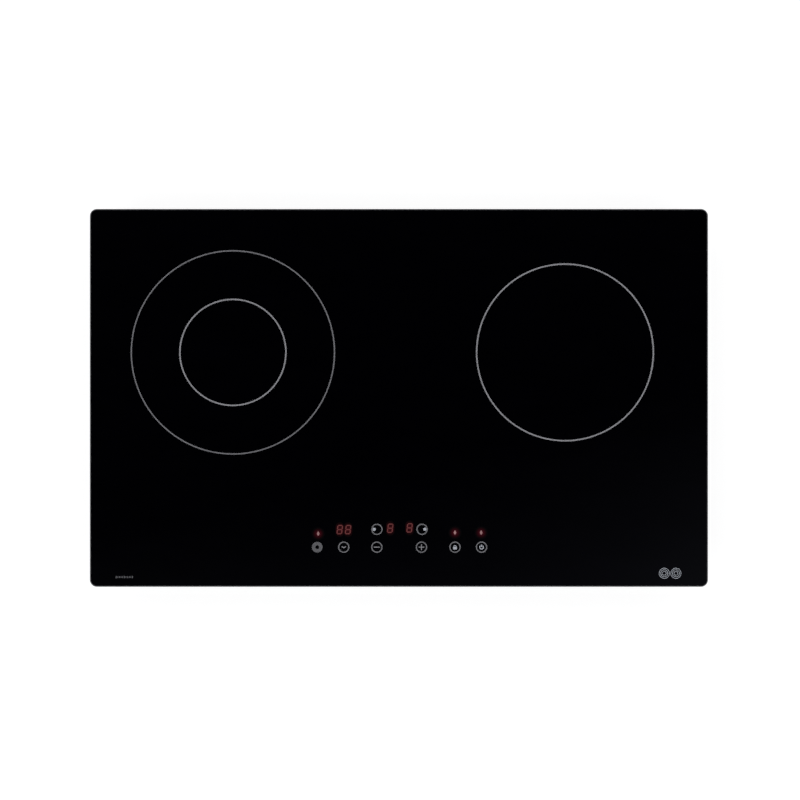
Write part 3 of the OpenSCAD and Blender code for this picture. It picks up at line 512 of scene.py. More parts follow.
def lathe(profile, steps=48):
    """Turns a profile of (radius, height) points about Z; a radius can be a function of the angle.
    Points on the axis close the shape."""
    mesh = bmesh.new()
    rings = []
    angles = [tau * i / steps for i in range(steps)]
    for radius, height in profile:
        if radius == 0:
            rings.append([mesh.verts.new((0, 0, height))])
            continue
        reaches = [radius(a) if callable(radius) else radius for a in angles]
        rings.append([mesh.verts.new((r * cos(a), r * sin(a), height)) for r, a in zip(reaches, angles)])
    closed = len(rings[0]) > 1 and len(rings[-1]) > 1
    for low, high in list(zip(rings, rings[1:])) + ([(rings[-1], rings[0])] if closed else []):
        for i in range(steps):
            j = (i + 1) % steps
            corners = [low[i % len(low)], low[j % len(low)], high[j % len(high)], high[i % len(high)]]
            corners = list(dict.fromkeys(corners))
            if len(corners) > 2:
                mesh.faces.new(corners)
    return mesh


def loft(loops):
    """Closed skin over a row of loops that have the same number of points."""
    mesh = bmesh.new()
    rings = [[mesh.verts.new(point) for point in loop] for loop in loops]
    count = len(rings[0])
    for low, high in zip(rings, rings[1:]):
        for k in range(count):
            j = (k + 1) % count
            mesh.faces.new((low[k], low[j], high[j], high[k]))
    mesh.faces.new(list(reversed(rings[0])))
    mesh.faces.new(rings[-1])
    return mesh


def plate(points, low, high, foot=1.0):
    """Extrudes an outline in plan from one height to another; foot scales it at the lower end."""
    return loft([[(foot * x, foot * y, low) for x, y in points], [(x, y, high) for x, y in points]])


def rod(radius, low, high, steps=32):
    """Upright round rod."""
    return plate(arc(0, 0, radius, 0, 360 - 360 / steps, steps - 1), low, high)


def capsule(width, length, low, high):
    """Slot with round ends, lying along Y."""
    end = (length - width) / 2
    return plate(arc(0, end, width / 2, 0, 180, 8) + arc(0, -end, width / 2, 180, 360, 8), low, high)


def slab(width, depth, radius, low, high, low_round=0.0, high_round=0.0):
    """Rounded rectangular block whose lower and upper edges can be rounded too."""
    profile = arc(-low_round, low + low_round, low_round, -90, 0, 5) if low_round else [(0, low)]
    profile += arc(-high_round, high - high_round, high_round, 0, 90, 5) if high_round else [(0, high)]
    return rail(rounded_outline(width, depth, radius), profile, caps=True)


def tube(path, radius, sides=12):
    """Sweeps a circle along points; both ends are closed."""
    points = [Vector(p) for p in path]
    last = len(points) - 1
    angles = [tau * k / sides for k in range(sides)]
    normal = None
    loops = []
    for i, point in enumerate(points):
        tangent = (points[min(i + 1, last)] - points[max(i - 1, 0)]).normalized()
        normal = normal or tangent.orthogonal().normalized()
        normal = (normal - normal.dot(tangent) * tangent).normalized()
        side = tangent.cross(normal)
        loops.append([point + radius * (cos(a) * normal + sin(a) * side) for a in angles])
    return loft(loops)


def cut(target, *cutters, operation="DIFFERENCE"):
    """Boolean of bmeshes; returns a new bmesh."""
    scratch = []
    for mesh in (target, *cutters):
        bmesh.ops.remove_doubles(mesh, verts=mesh.verts, dist=0.0001)
        bmesh.ops.recalc_face_normals(mesh, faces=mesh.faces)
        scratch.append(add_object("scratch", mesh_data("scratch", mesh)))
    for other in scratch[1:]:
        step = scratch[0].modifiers.new("cut", "BOOLEAN")
        step.object = other
        step.operation = operation
        step.solver = "EXACT"
    shown = scratch[0].evaluated_get(bpy.context.evaluated_depsgraph_get())
    result = bmesh.new()
    result.from_mesh(shown.to_mesh())
    shown.to_mesh_clear()
    for made in scratch:
        data = made.data
        bpy.data.objects.remove(made)
        bpy.data.meshes.remove(data)
    bmesh.ops.remove_doubles(result, verts=result.verts, dist=0.0001)
    bmesh.ops.dissolve_degenerate(result, edges=result.edges, dist=0.0001)
    return result


def soften(points, radius, steps=5):
    """Rounds the corners of an outline; radius is one number, or one for each corner."""
    rounds = radius if isinstance(radius, list) else [radius] * len(points)
    found = []
    for i, r in enumerate(rounds):
        here = Vector(points[i])
        if r <= 0:
            found.append(tuple(here))
            continue
        back = (Vector(points[i - 1]) - here).normalized()
        ahead = (Vector(points[(i + 1) % len(points)]) - here).normalized()
        half = back.angle(ahead) / 2
        centre = here + (back + ahead).normalized() * r / sin(half)
        start, end = (here + way * r / tan(half) - centre for way in (back, ahead))
        sweep = start.angle(end)
        for t in (k / steps for k in range(steps + 1)):
            offset = (sin((1 - t) * sweep) * start + sin(t * sweep) * end) / sin(sweep)
            found.append(tuple(centre + offset))
    return found


def rounded(made, width):
    """Rounds the sharp edges of a finished piece, and keeps the broad faces next to them flat."""
    bevel = made.modifiers.new("soft_edges", "BEVEL")
    bevel.width = width * MM
    bevel.segments = 2
    bevel.limit_method = "ANGLE"
    bevel.angle_limit = radians(40)
    weighted(made)


def weighted(made):
    made.modifiers.new("flat_faces", "WEIGHTED_NORMAL").keep_sharp = True


# ---- glass and print ----

EDGE_ROUND = 1.2
GLASS_CORNER = 8
PRINT_LOW = GLASS_TOP + 0.002
PRINT_HIGH = GLASS_TOP + 0.03
PRINT = {"slot": "white_enamel"}
KEYS = {"slot": "white_enamel", "replaces": "key_symbols"}
LIGHT = {"slot": "red_display"}


def make_glass():
    """Glass plate with a ground, rounded edge."""
    width, depth, _ = size_of("glass_plate")
    profile = arc(-EDGE_ROUND, GLASS_LOW.z + EDGE_ROUND, EDGE_ROUND, -90, 0, 5)
    profile += arc(-EDGE_ROUND, GLASS_TOP - EDGE_ROUND, EDGE_ROUND, 0, 90, 6)
    mesh = rail(rounded_outline(width, depth, GLASS_CORNER, 14), profile, caps=True)
    for face in mesh.faces:
        face.material_index = 0 if len(face.verts) > 4 else 1
    weighted(piece("ceramic_glass", mesh, ["glass", "edge"], "black_glass", replaces="glass_plate"))


def print_ring(x, y, radius, line, steps=96):
    """Flat printed ring with softly rounded edges."""
    half, soft = line / 2, 0.012
    profile = [(-half, PRINT_LOW), (-half, PRINT_HIGH - soft), (-half + 2 * soft, PRINT_HIGH),
               (half - 2 * soft, PRINT_HIGH), (half, PRINT_HIGH - soft), (half, PRINT_LOW)]
    return moved(rail(round_outline(radius, steps), profile), shift(x, y))


def print_shape(points, x=0.0, y=0.0):
    return moved(plate(points, PRINT_LOW, PRINT_HIGH), shift(x, y))


def bar(half, low, high):
    """Outline of an upright bar of a given half width."""
    return [(-half, low), (half, low), (half, high), (-half, high)]


ZONE_X, ZONE_Y = 188, 51.5
ZONE_RINGS = [   # name, x, radius, width of the line, material
    ("left_outer_ring", -ZONE_X, 115, 1.45, "faint_enamel"),
    ("left_inner_ring", -ZONE_X, 60, 1.65, "enamel"),
    ("right_ring", ZONE_X, 100, 1.65, "enamel"),
]


def make_zone_rings():
    for name, x, radius, line, material in ZONE_RINGS:
        ring = print_ring(x, ZONE_Y, radius, line, 360)
        piece(name, ring, material, **PRINT, replaces="zone_rings")


KEY_Y = -169
KEY_XS = [-92.5, -62.5, -25, 25.5, 63.5, 93.5]
SELECT_Y = -148.8
SELECT_XS = [-24.9, 26.2]
KEY_R, KEY_LINE = 5.75, 1.25


def cross_points(arm, line):
    """Outline of a plus sign."""
    h = line / 2
    return [(-arm, -h), (-h, -h), (-h, -arm), (h, -arm), (h, -h), (arm, -h),
            (arm, h), (h, h), (h, arm), (-h, arm), (-h, h), (-arm, h)]


def hands_points():
    """Outline of two clock hands that meet below the middle."""
    reach, rise, line, low = 2.5, 1.5, 1.0, -1.3
    return [(0, low), (reach, low + rise), (reach - 0.3, low + rise + line),
            (0, low + 1.3 * line), (0.3 - reach, low + rise + line), (-reach, low + rise)]


def padlock():
    """Body and bow of a padlock."""
    return [bar(2.1, -2.6, 0.3), arc(0, 0.5, 1.75, 0, 180, 12) + arc(0, 0.5, 0.9, 180, 0, 12)]


def power_mark():
    """Open ring with a bar in its gap."""
    return [arc(0, -0.2, 2.55, 125, 415, 24) + arc(0, -0.2, 1.5, 415, 125, 24), bar(0.55, 0.2, 2.9)]


def make_keys():
    rings = [print_ring(x, KEY_Y, KEY_R, KEY_LINE) for x in KEY_XS[1:]]
    rings += [print_ring(x, SELECT_Y, KEY_R, KEY_LINE) for x in SELECT_XS]
    piece("key_rings", merged(*rings), "faint_enamel", **KEYS)
    piece("burner_key_disc", print_ring(KEY_XS[0], KEY_Y, 4.1, 3.8), "dim_enamel", **KEYS)
    signs = [hands_points(), bar(3.4, -0.5, 0.5), cross_points(3.2, 0.95)]
    signs = [print_shape(points, x, KEY_Y) for points, x in zip(signs, KEY_XS[1:])]
    piece("key_signs", merged(*signs), "enamel", **KEYS)
    bright = [print_shape(points, KEY_XS[4], KEY_Y) for points in padlock()]
    bright += [print_shape(points, KEY_XS[5], KEY_Y) for points in power_mark()]
    bright += [moved(rod(1.85, PRINT_LOW, PRINT_HIGH), shift(x + side * 3.15, SELECT_Y))
               for x, side in zip(SELECT_XS, (-1, 1))]
    piece("bright_signs", merged(*bright), "bright_enamel", **KEYS)


# Seven-segment digits: each segment's middle and whether it stands upright, in half digit heights.
SEGMENTS = [((0, 1), False), ((0, 0), False), ((0, -1), False),
            ((-1, 0.5), True), ((1, 0.5), True), ((-1, -0.5), True), ((1, -0.5), True)]
DIGIT_W, DIGIT_H = 5.2, 9.4
SEGMENT_T, SEGMENT_GAP = 1.25, 0.25
SLANT = tan(radians(7))


def digit(x, y):
    """All seven segments of one digit: bars with pointed ends."""
    parts = []
    tip = SEGMENT_T / 2
    for (across, up), upright in SEGMENTS:
        end = ((DIGIT_H / 2 if upright else DIGIT_W) - SEGMENT_GAP) / 2
        flat = end - tip
        points = [(-end, 0), (-flat, -tip), (flat, -tip), (end, 0), (flat, tip), (-flat, tip)]
        points = [(-v, u) if upright else (u, v) for u, v in points]
        points = [(across * DIGIT_W / 2 + u, up * DIGIT_H / 2 + v) for u, v in points]
        parts.append(print_shape([(u + SLANT * v, v) for u, v in points], x, y))
    return parts


def glow(name, x, y, width, depth, material):
    """Thin patch of glass that glows softly round its middle."""
    points = [(p.x, p.y) for p, _ in rounded_outline(width, depth, min(width, depth) / 2.01, 10)]
    mesh = moved(plate(points, GLASS_TOP + 0.001, GLASS_TOP + 0.012), shift(x, y))
    piece(name, mesh, material, **LIGHT, origin=(x, y, GLASS_TOP))


DISPLAYS = {   # name: the middles of its digits
    "timer_display": [(-67.0, -149.1), (-57.6, -149.1)],
    "left_zone_display": [(-9.9, -147.6)],
    "right_zone_display": [(12.0, -147.2)],
}
LAMPS = [(-91.4, -153.8), (63.4, -152.6), (93.1, -152.7)]


def make_displays():
    for name, spots in DISPLAYS.items():
        parts = []
        for number, (x, y) in enumerate(spots):
            parts += digit(x, y)
            glow(f"{name}_glow_{number + 1}", x, y, 9.3, 17, "digit_glow")
        piece(name, merged(*parts), "digit", **LIGHT)
    for number, (x, y) in enumerate(LAMPS):
        flame = soften([(0, -2.7), (1.6, 0), (0, 3.2), (-1.6, 0)], 0.5)
        piece(f"lamp_{number + 1}", print_shape(flame, x, y), "lamp", **LIGHT)
        glow(f"lamp_glow_{number + 1}", x, y, 15, 15, "lamp_glow")


MARK_X, MARK_Y = 307, -198.6
TICKS_X, TICKS_Y = -310.9, -202.9


def make_marks():
    """Plain marks: two coils in one front corner and a row of ticks in the other."""
    coils = [print_ring(MARK_X + s * 6.6, MARK_Y, r, 0.55, 64) for s in (-1, 1) for r in (2.2, 4.0, 5.8)]
    piece("corner_mark", merged(*coils), "bright_enamel", **PRINT)
    ticks = []
    for i in range(11):
        height = 1.4 if i % 5 == 0 else 1.0
        ticks.append(print_shape(bar(0.35, -height, height), TICKS_X + (i - 5) * 1.85, TICKS_Y))
    piece("corner_ticks", merged(*ticks), "faint_enamel", **PRINT)


make_glass()
make_zone_rings()
make_keys()
make_displays()
make_marks()


# ---- casing ----

SHEET = 1.0
BEND = 1.6               # outer radius of the bends in the sheet
PAN_LOW, PAN_HIGH = box("base_pan")
PAN_W, PAN_D = PAN_HIGH.x - PAN_LOW.x, PAN_HIGH.y - PAN_LOW.y
PAN_R = 6
STRIP_W, STRIP_H = 34, 24          # the raised strips where the clamps are
WELL_W = PAN_W - 2 * STRIP_W
STRIP_Z = BASE_Z + STRIP_H
FLOOR_Z = BASE_Z + SHEET
FAN_XS, FAN_Y = (-58, 58), 100
FAN_HOLE = 41.25                   # from the middle of a fan to its screws, along X and Y
FAN_PAD, FAN_PAD_RISE = 106, 3     # the floor is pressed up under each fan
SPOKES = 8
BEAD_XS, BEAD_YS = (-200, 0, 200), (-118, -100)
VENT_XS = range(145, 256, 10)
FLOOR_VENT, SIDE_VENT = (4, 42), (3.6, 24)   # width and length
FLOOR_VENT_Y, SIDE_VENT_Z = -155, -30
SIDE_SCREW_XS, SIDE_SCREW_YS, SIDE_SCREW_Z = (-240, 0, 240), (-90, 90), -7
SCREW_HOLE_R, CLAMP_HOLE_R = 2.1, 2.6
CLAMP_X, CLAMP_Y = 311.5, 120
BOX_X = 248                        # middle of the terminal box
COVER_HOLE, COVER_HOLE_Y = (70.2, 35.8), 170.7
INLET_Z, INLET_R = -41, 7.7
CORNERS = [(sx, sy) for sx in (-1, 1) for sy in (-1, 1)]


def side_screw_places():
    """Matrices of the screws round the casing, each with Z pointing outward."""
    width, depth, _ = size_of("support_frame")
    z = SIDE_SCREW_Z
    places = [shift(x, s * depth / 2, z) @ turn(-s * 90, "X") for s in (-1, 1) for x in SIDE_SCREW_XS]
    return places + [shift(s * width / 2, y, z) @ turn(s * 90, "Y") for s in (-1, 1) for y in SIDE_SCREW_YS]


def fan_screw_places():
    return [shift(x + sx * FAN_HOLE, FAN_Y + sy * FAN_HOLE, BASE_Z + FAN_PAD_RISE) @ turn(180, "X")
            for x in FAN_XS for sx, sy in CORNERS]


def pressed(width, depth, radius, rise, bend, places):
    """The solids that press pads up into the floor: what is added above and hollowed below."""
    low = BASE_Z
    hollow = [(bend, low - SHEET)] + arc(bend, low + bend, bend, 270, 180, 4)
    hollow += arc(-bend, low + rise - bend, bend, 0, 90, 4)
    added = [(SHEET, low + SHEET / 2)] + arc(-bend, low + rise - bend, bend + SHEET, 0, 90, 5)
    outline = rounded_outline(width, depth, radius)
    return [copies(rail(outline, profile, caps=True), places) for profile in (added, hollow)]


def grille_opening(inner, outer, spoke):
    """One opening of a round grille, between two spokes, with rounded corners."""
    wide, narrow = (degrees(asin(spoke / 2 / r)) for r in (inner, outer))
    between, steps = 360 / SPOKES, 7
    points = arc(0, 0, outer, narrow, between - narrow, steps)
    points += arc(0, 0, inner, between - wide, wide, steps)
    ends = (0, steps, steps + 1, 2 * steps + 1)
    return soften(points, [0.7 if i in ends else 0.0 for i in range(len(points))], 3)


def fan_grille():
    """Openings of one fan's grille: rings of slots crossed by spokes."""
    slot, spoke, pitch = 3.6, 2.6, 6
    slots = [plate(grille_opening(r, r + slot, spoke), -2, 6) for r in range(14, 39, pitch)]
    return copies(merged(*slots), [turn(360 / SPOKES * i) for i in range(SPOKES)])


def pan_openings():
    """Everything that is punched through the pan."""
    through_floor, through_wall = (BASE_Z - SHEET, FLOOR_Z + SHEET), (-3, 3)
    side_vent = moved(capsule(*SIDE_VENT, *through_wall), turn(90, "X"))
    sides = ((-1, -1), (1, -1), (-1, 1))
    return merged(
        copies(fan_grille(), [shift(x, FAN_Y, BASE_Z) for x in FAN_XS]),
        copies(rod(SCREW_HOLE_R, -2, 6), fan_screw_places()),
        copies(capsule(*FLOOR_VENT, *through_floor),
               [shift(s * x, FLOOR_VENT_Y) for s in (-1, 1) for x in VENT_XS]),
        copies(side_vent, [shift(sx * x, sy * PAN_D / 2, SIDE_VENT_Z) for sx, sy in sides for x in VENT_XS]),
        copies(rod(2, -5, 5), side_screw_places()),
        copies(rod(CLAMP_HOLE_R, -2, 3), [shift(sx * CLAMP_X, sy * CLAMP_Y, STRIP_Z) for sx, sy in CORNERS]),
        moved(slab(*COVER_HOLE, 1.5, *through_floor), shift(BOX_X, COVER_HOLE_Y)),
        moved(rod(INLET_R, *through_wall), shift(BOX_X, PAN_D / 2, INLET_Z) @ turn(90, "X")))


def make_base_pan():
    """Pan pressed from one sheet: a deep well between two raised strips."""
    body = cut(slab(PAN_W, PAN_D, PAN_R, STRIP_Z, PAN_HIGH.z, BEND),
               slab(WELL_W, PAN_D, PAN_R, BASE_Z, STRIP_Z + 3, BEND), operation="UNION")
    inner_d, inner_r = PAN_D - 2 * SHEET, PAN_R - SHEET
    body = cut(body, slab(PAN_W - 2 * SHEET, inner_d, inner_r, STRIP_Z + SHEET, SHEET, BEND - SHEET),
               slab(WELL_W - 2 * SHEET, inner_d, inner_r, FLOOR_Z, STRIP_Z + 5, BEND - SHEET))
    pads = pressed(FAN_PAD, FAN_PAD, 8, FAN_PAD_RISE, 1.3, [shift(x, FAN_Y) for x in FAN_XS])
    beads = pressed(110, 5, 2.4, 1.5, 0.7, [shift(x, y) for x in BEAD_XS for y in BEAD_YS])
    added, hollow = (merged(*solids) for solids in zip(pads, beads))
    body = cut(cut(body, added, operation="UNION"), hollow)
    body = cut(body, pan_openings())
    weighted(piece("bottom_pan", body, "sheet", "sheet_steel", replaces="base_pan"))


def make_support_frame():
    """Angle frame that the glass is glued on and the pan is screwed to."""
    width, depth, _ = size_of("support_frame")
    low, high = (corner.z for corner in box("support_frame"))
    flange = 10
    body = cut(slab(width, depth, PAN_R + SHEET, low, high, 0, BEND),
               slab(width - 2 * SHEET, depth - 2 * SHEET, PAN_R, low - SHEET, high - SHEET, 0, BEND - SHEET),
               slab(width - 2 * flange, depth - 2 * flange, 4, low, high + SHEET),
               copies(rod(SCREW_HOLE_R, -5, 5), side_screw_places()))
    weighted(piece("angle_frame", body, "sheet", "sheet_steel", replaces="support_frame"))


def make_seal():
    """Foam strip round the underside of the glass, a little crowned between its edges."""
    width, depth, height = size_of("edge_seal")
    band, soft, bulge, inset = 9, 0.5, 0.25, 0.4
    profile = [(inset, 0.0)] + arc(band - soft - bulge, soft, soft, -60, 0, 3)
    profile += [(band, height / 2)] + arc(band - soft - bulge, height - soft, soft, 0, 80, 3)
    profile += [(inset, height), (0.0, height / 2)]
    mesh = rail(rounded_outline(width - 2 * band, depth - 2 * band, 1), profile)
    piece("foam_seal", mesh, "foam", "seal_foam", replaces="edge_seal")


# ---- screws ----

SCREWS = {"slot": "screw_steel"}


def thread(radius, length, pitch):
    """Rows of a thread that starts at z = 0 and runs down to a blunt point."""
    depth = 0.16 * radius

    def row(z, taper):
        return lambda a: taper * (radius - depth * abs(2 * ((a / tau + z / pitch) % 1) - 1)), z

    rows = []
    count = int(length / pitch * 4)
    for i in range(1, count + 1):
        z = -length * i / count
        taper = min(1.0, 0.55 + (length + z) / (1.6 * radius))
        rows.append(row(z, taper))
    return rows


def screw(head_r, head_h, shank_r, length, pitch=1.1):
    """Pan-head screw with a cross recess: head above z = 0 and thread below."""
    crown = [(head_r * (0.42 + 0.58 * sin(t)), head_h * (0.42 + 0.58 * cos(t)))
             for t in (radians(15 * i) for i in range(7))]
    rows = [(0, head_h)] + crown + [(head_r, 0.3), (head_r - 0.15, 0.0), (shank_r, 0.0)]
    body = lathe(rows + thread(shank_r, length, pitch) + [(0, -length)], 24)
    return cut(body, plate(cross_points(0.55 * head_r, 0.26 * head_r), 0.55 * head_h, head_h + SHEET, 0.6))


def make_screws():
    side = copies(screw(3.4, 2.2, 1.9, 9), side_screw_places())
    piece("side_screws", side, "screw", **SCREWS, replaces="casing_screws")
    fan = copies(screw(3.6, 2, 1.9, 10), fan_screw_places())
    piece("fan_frame_screws", fan, "screw", **SCREWS, replaces="fan_screws")
    block = [shift(BOX_X + 12 * i, 164, -39) @ turn(180, "X") for i in range(-2, 3)]
    saddle = [shift(BOX_X + s * 12, 179.5, -47.5) @ turn(180, "X") for s in (-1, 1)]
    small = merged(copies(screw(2.9, 1.8, 1.3, 3.6, 0.7), block),
                   copies(screw(2.9, 1.8, 1.2, 6, 0.9), saddle))
    piece("wire_screws", small, "screw", **SCREWS, replaces="terminal_screws")


# ---- worktop clamps ----

CLAMP_NAMES = {(-1, -1): "front_left", (1, -1): "front_right", (-1, 1): "rear_left", (1, 1): "rear_right"}
CLAMP_W, CLAMP_T, CLAMP_REACH = 14, 2, 34
CLAMP_DROP = 3
CLAMP_Z = STRIP_Z - 12.3


def clamp():
    """Strip folded down to a tongue, with a toothed lip that bites into the worktop from below."""
    top, low, half = CLAMP_T, -CLAMP_DROP, CLAMP_W / 2
    inside, outside = 0.8, 2.6         # radii of the bends
    fold, folded = 13, 17              # where the step down starts and ends
    side = [(-half, 0), (fold, 0), (folded, low), (CLAMP_REACH, low), (CLAMP_REACH, top),
            (CLAMP_REACH - CLAMP_T, top), (CLAMP_REACH - CLAMP_T, low + CLAMP_T),
            (folded + 1, low + CLAMP_T), (fold + 1, top), (-half, top)]
    side = soften(side, [0, inside, outside, outside, 0, 0, inside, inside, outside, 0], 6)
    strip = moved(plate(side, -CLAMP_W, CLAMP_W), turn(90, "X"))
    corners = [(CLAMP_REACH, -half), (CLAMP_REACH, half), (0, half), (0, -half)]
    plan = soften(corners, [1.2, 1.2, 0, 0], 4)[:-2] + arc(0, 0, half, 90, 270, 24)
    body = cut(strip, plate(plan, 2 * low, 2 * top), operation="INTERSECT")
    tooth = plate([(-1.2, 0.1), (0, -1.1), (1.2, 0.1)], 0, 8)
    teeth = copies(tooth, [shift(CLAMP_REACH - 4, y, top) @ turn(90, "Z") @ turn(90, "X")
                           for y in (-5.25, -1.75, 1.75, 5.25)])
    return cut(body, merged(teeth, rod(SCREW_HOLE_R, -5, 5)))


def make_clamps():
    for (sx, sy), name in CLAMP_NAMES.items():
        place = shift(sx * CLAMP_X, sy * CLAMP_Y, CLAMP_Z) @ turn(-sy * 90)
        rounded(piece(f"folded_clamp_{name}", moved(clamp(), place), "clamp", "clamp_steel",
                      body=f"clamp_{name}", replaces=f"clamp_{name}"), 0.12)
        bolt = moved(screw(3.9, 2.4, 2, 16, 0.8), place @ turn(180, "X"))
        piece(f"clamp_bolt_{name}", bolt, "screw", **SCREWS,
              body=f"clamp_screw_{name}", replaces=f"clamp_screw_{name}")


# ---- terminal box ----

HINGE_Y, HINGE_Z = 156, -51.2
KNUCKLE_R = 2.8
COVER_END = 188.2


def make_terminal_cover():
    """Snap-on cover that swings on moulded pins at its front edge."""
    thick, width, low = 2, 69.4, BASE_Z
    start = degrees(asin((low + thick - HINGE_Z) / KNUCKLE_R))
    side = arc(HINGE_Y, HINGE_Z, KNUCKLE_R, start, 270, 28) + [(COVER_END, low), (COVER_END, low + thick)]
    along_x = turn(90, "Z") @ turn(90, "X")
    grooves = [moved(capsule(3, 20, low - SHEET, low + 0.6), shift(8 * i, 172.7)) for i in range(-3, 4)]
    notch = moved(rod(5, low - SHEET, low + 3, 40), shift(0, COVER_END + 3.25))
    lid = cut(moved(plate(side, -width / 2, width / 2), along_x), merged(*grooves, notch))
    pin = moved(rod(1.4, -38, 38, 24), shift(0, HINGE_Y, HINGE_Z) @ turn(90, "Y"))
    hook = [(COVER_END - back, low + up) for back, up in ((2.4, 1), (0.8, 1), (0.8, 5), (1.3, 6), (2.4, 6))]
    hooks = [moved(plate(hook, -4, 4), shift(s * 24) @ along_x) for s in (-1, 1)]
    lid = cut(lid, pin, merged(*hooks), operation="UNION")
    rounded(piece("hinged_cover", moved(lid, shift(BOX_X)), "black_plastic", "black_plastic",
                  body="terminal_cover", replaces="terminal_cover"), 0.25)


def make_grommet():
    """Rubber grommet that protects the mains cable in the rear wall."""
    points = [(5.2, -7), (5.2, 2.1), (10, 2.1), (10, 0.1), (7.5, 0.1), (7.5, -4.4), (9.2, -4.6), (8.2, -7)]
    profile = soften(points, [0.4, 0.9, 0.9, 0.2, 0, 0, 0.4, 0.4], 5)
    place = shift(BOX_X, PAN_D / 2, INLET_Z) @ turn(-90, "X")
    piece("inlet_grommet", moved(lathe(profile, 64), place), "rubber", "grommet_rubber",
          replaces="cable_grommet")


# ---- fan rotors ----

HUB_R, BLADE_R = 18.5, 42.4
BLADES = 7
CUP = [(0, 2.3), (7, 2.3), (7.4, 2.0), (16.6, 2.0), *arc(HUB_R - 1.8, 3.8, 1.8, -75, 0, 6),
       (HUB_R, 21), (16.5, 21), (16.5, 3.8), (1.5, 3.8), (1.5, 23.2), (0, 23.2)]
FAN_Z = FLOOR_Z + FAN_PAD_RISE


def blade():
    """One blade, swept back towards its tip and thinner along both edges."""
    loops = []
    for u in (i / 14 for i in range(15)):
        radius = HUB_R - 0.8 + u * (BLADE_R - HUB_R + 0.8)
        face = []
        for side, order in ((1, range(13)), (-1, range(11, 0, -1))):
            for v in (k / 12 for k in order):
                half = (0.22 + 0.42 * sin(pi * v) ** 0.7) * (1.15 - 0.3 * u)
                sweep = 16 * u * u - 34 * v + 3.0 * sin(pi * v)
                a = radians(sweep + side * degrees(half / radius))
                face.append((radius * cos(a), radius * sin(a), 3.5 + 16 * v))
        loops.append(face)
    return loft(loops)


def make_rotors():
    """Fan rotors: a cup over the motor, its shaft and seven blades."""
    for side, x in zip(("left", "right"), FAN_XS):
        blades = copies(blade(), [turn(360 / BLADES * i) for i in range(BLADES)])
        mesh = moved(merged(lathe(CUP, 64), blades), shift(x, FAN_Y, FAN_Z))
        piece(f"{side}_impeller", mesh, "black_plastic", "black_plastic",
              body=f"{side}_fan_rotor", replaces=f"{side}_fan_rotor")


make_base_pan()
make_support_frame()
make_seal()
make_screws()
make_clamps()
make_terminal_cover()
make_grommet()
make_rotors()


# ---- coils and springs ----

PANEL_BOARD_TOP = -3.9
TUBE_SHARP = 70.0        # edges of a tube are only sharp at its ends
WIRE_R, WIRE_PITCH = 1.78, 3.4
WINDING_Z = -2.2 + WIRE_R
WINDINGS = [   # side, name, replaced node, radius of the first turn, turns, direction of the outer end
    ("left", "outer_coil", "left_outer_winding", 64.6, 15, 239),
    ("left", "inner_coil", "left_inner_winding", 22, 11, 225),
    ("right", "coil", "right_winding", 24, 22, -59),
]


def make_windings():
    """Each winding is one spiral of stranded wire, pressed flat."""
    for side, name, node, first, turns, end in WINDINGS:
        hand = -1 if side == "left" else 1
        path = []
        steps = 90 * (turns - 1)
        for t in (i / steps for i in range(steps + 1)):
            a = radians(end) - hand * tau * (turns - 1) * (1 - t)
            r = first + WIRE_PITCH * (turns - 1) * t
            path.append((hand * ZONE_X + r * cos(a), ZONE_Y + r * sin(a), WINDING_Z))
        piece(f"{side}_{name}", tube(path, WIRE_R, 14), f"{side}_copper", "litz_copper", replaces=node,
              sharp=TUBE_SHARP)


def coil_spring(radius, wire, turns, low, high):
    """Compression spring whose end turns are closed."""
    path = []
    dead = 0.8               # turns at each end that lie on each other
    rise = high - low - 2 * wire * (1 + 2 * dead)
    for t in (i / 24 for i in range(24 * turns + 1)):
        closed = 2 * wire * (min(t, dead) + max(t - turns + dead, 0))
        free = min(max(t - dead, 0), turns - 2 * dead) / (turns - 2 * dead)
        a = tau * t
        path.append((radius * cos(a), radius * sin(a), low + wire + closed + free * rise))
    return tube(path, wire, 8)


POST = 112               # from the middle of a coil tray to its posts, along X and Y
TRAY_SPRING, PANEL_SPRING = (-24, -12.2), (-21, -9)   # lower and upper ends


def make_springs():
    tray = [shift(s * ZONE_X + x * POST, ZONE_Y + y * POST) for s in (-1, 1) for x, y in CORNERS]
    panel = [shift(x * POST, y * 24 - 155) for x, y in CORNERS]
    body = merged(*(copies(coil_spring(3.6, 0.5, 6, *ends), spots)
                    for ends, spots in ((TRAY_SPRING, tray), (PANEL_SPRING, panel))))
    piece("post_springs", body, "spring", **SCREWS, replaces="support_springs", sharp=TUBE_SHARP)
    spots = [shift(x, KEY_Y) for x in KEY_XS] + [shift(x, -148.5) for x in (-25, 26)]
    body = copies(coil_spring(4.4, 0.35, 5, PANEL_BOARD_TOP, 1.9), spots)
    piece("key_springs", body, "spring", **SCREWS, replaces="touch_springs", sharp=TUBE_SHARP)


# ---- parts on the boards ----

BOARD_TOP = -45.4
CHOKES = [   # name, place, radius, height, turns
    ("large", (215, 32), 17, 14, 15), ("small", (262, 20), 14, 12, 12),
]
CONNECTORS = [   # x, y, width, depth, height, contacts
    (274, -60, 22, 14, 10, 3), (250, -84, 24, 10, 8, 5), (150, -102, 30, 10, 8, 10),
    (128, -50, 14, 7, 7, 4), (124, -76, 12, 24, 7, 4), (230, 125, 22, 8, 7, 3),
]
PANEL_CONNECTOR = (-80, -138, 16, 7, 4.5, 8)
# Chips: x, y, width, depth, height, legs on a side, whether all four sides have them.
CHIPS = [(150, -70, 12, 12, 2, 14, True), (190, -40, 8, 10, 2, 8, False)]
PANEL_CHIP = (0, -174, 10, 10, 1.6, 11, True)
CANS = [(205, -10, 8, 20), (205, -60, 5, 14), (222, -60, 5, 14), (184, -20, 4, 11)]   # x, y, radius, height
RELAYS, TRANSFORMER = [(268, -10), (268, -30)], (232, -20)


